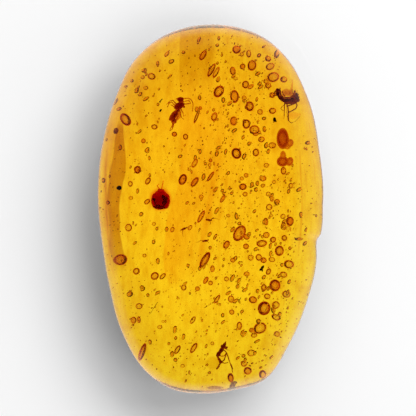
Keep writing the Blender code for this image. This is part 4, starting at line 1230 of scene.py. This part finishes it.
# The room is darkest overhead, where the camera stands, and lighter toward the key lamp. Below its
# horizon it is darker on the left and past the right, and brighter toward the pebble's two ends.
world = bpy.data.worlds.new("soft_room")
bpy.context.scene.world = world
world.use_nodes = True
tree = world.node_tree
way = add_node(tree, "ShaderNodeTexCoord").outputs["Generated"]
x, y, z = add_node(tree, "ShaderNodeSeparateXYZ", {"Vector": way}).outputs
toward_key = math_node(tree, "ADD", times(tree, x, 0.6), times(tree, y, 0.8))
overhead = times(tree, blend_of(tree, 0.08, 0.55, z, 0.30, 0.012),
                 blend_of(tree, -0.8, 0.8, toward_key, 0.15, 0.85, "LINEAR"))
shade = times(tree, blend_of(tree, -0.7, 0.1, x, 0.40, 0.90),
              blend_of(tree, 0.10, 0.45, x, 1.0, 0.5, "LINEAR"),
              blend_of(tree, 0.0, 0.45, math_node(tree, "ABSOLUTE", y), 1.0, 2.3, "LINEAR"))
below = blend_of(tree, -0.05, -0.60, z)
room = add_node(tree, "ShaderNodeMix", {"Factor": below, "A": overhead, "B": shade})
plug(tree, room, tree.nodes["Background"].inputs["Strength"])
plug(tree, mixed(tree, below, "ffffff", "ffead4"), tree.nodes["Background"].inputs["Color"])

# Soft lamps: azimuth, elevation and half width in degrees, and the share of the floor's light that
# each gives. None shows as a spot in the polish.
LAMP_DISTANCE = 0.8
FLOOR_WHITE = 0.92
LAMPS = {
    "key": (60, 40, 15, 0.165), "key_right": (30, 40, 15, 0.200), "upper_fill": (90, 25, 25, 0.203),
    "right_fill": (330, 40, 25, 0.158), "overhead": (240, 70, 50, 0.235),
}
for name, (azimuth, elevation, half_width, share) in LAMPS.items():
    azimuth, elevation, half_width = (math.radians(angle) for angle in (azimuth, elevation, half_width))
    lamp = bpy.data.lights.new(name, "AREA")
    lamp.shape = "DISK"
    radius = LAMP_DISTANCE * math.tan(half_width)
    lamp.size = 2 * radius
    radiance = share / (FLOOR_WHITE * math.sin(half_width) ** 2 * math.sin(elevation))
    lamp.energy = radiance * math.pi * math.pi * radius**2
    stand = link(name, lamp)
    stand.location = LAMP_DISTANCE * Vector((math.cos(elevation) * math.cos(azimuth),
                                             math.cos(elevation) * math.sin(azimuth), math.sin(elevation)))
    stand.rotation_euler = (-stand.location).to_track_quat("-Z", "Y").to_euler()
    stand.visible_glossy = False
    stand.visible_transmission = False

CAMERA_HEIGHT = 0.40
CAMERA_OFFSET = (-2.5, 1.0)    # pixels, from the middle of the pebble
PIXEL = 0.1084 * MM        # on the level of the girdle
PICTURE_WIDTH = 416
lens = bpy.data.cameras.new("camera")
lens.sensor_width = 36.0
lens.lens = lens.sensor_width * (CAMERA_HEIGHT - GIRDLE_HEIGHT * MM) / (PICTURE_WIDTH * PIXEL)
lens.clip_start = 0.01
camera = link("camera", lens)
camera.location = (CAMERA_OFFSET[0] * PIXEL, CAMERA_OFFSET[1] * PIXEL, CAMERA_HEIGHT)
bpy.context.scene.camera = camera

scene = bpy.context.scene
scene.view_settings.view_transform = "Standard"
scene.cycles.max_bounces = 40
scene.cycles.transmission_bounces = 36
scene.cycles.diffuse_bounces = 6
scene.cycles.glossy_bounces = 8
scene.cycles.transparent_max_bounces = 24
scene.cycles.caustics_refractive = False
scene.cycles.caustics_reflective = False
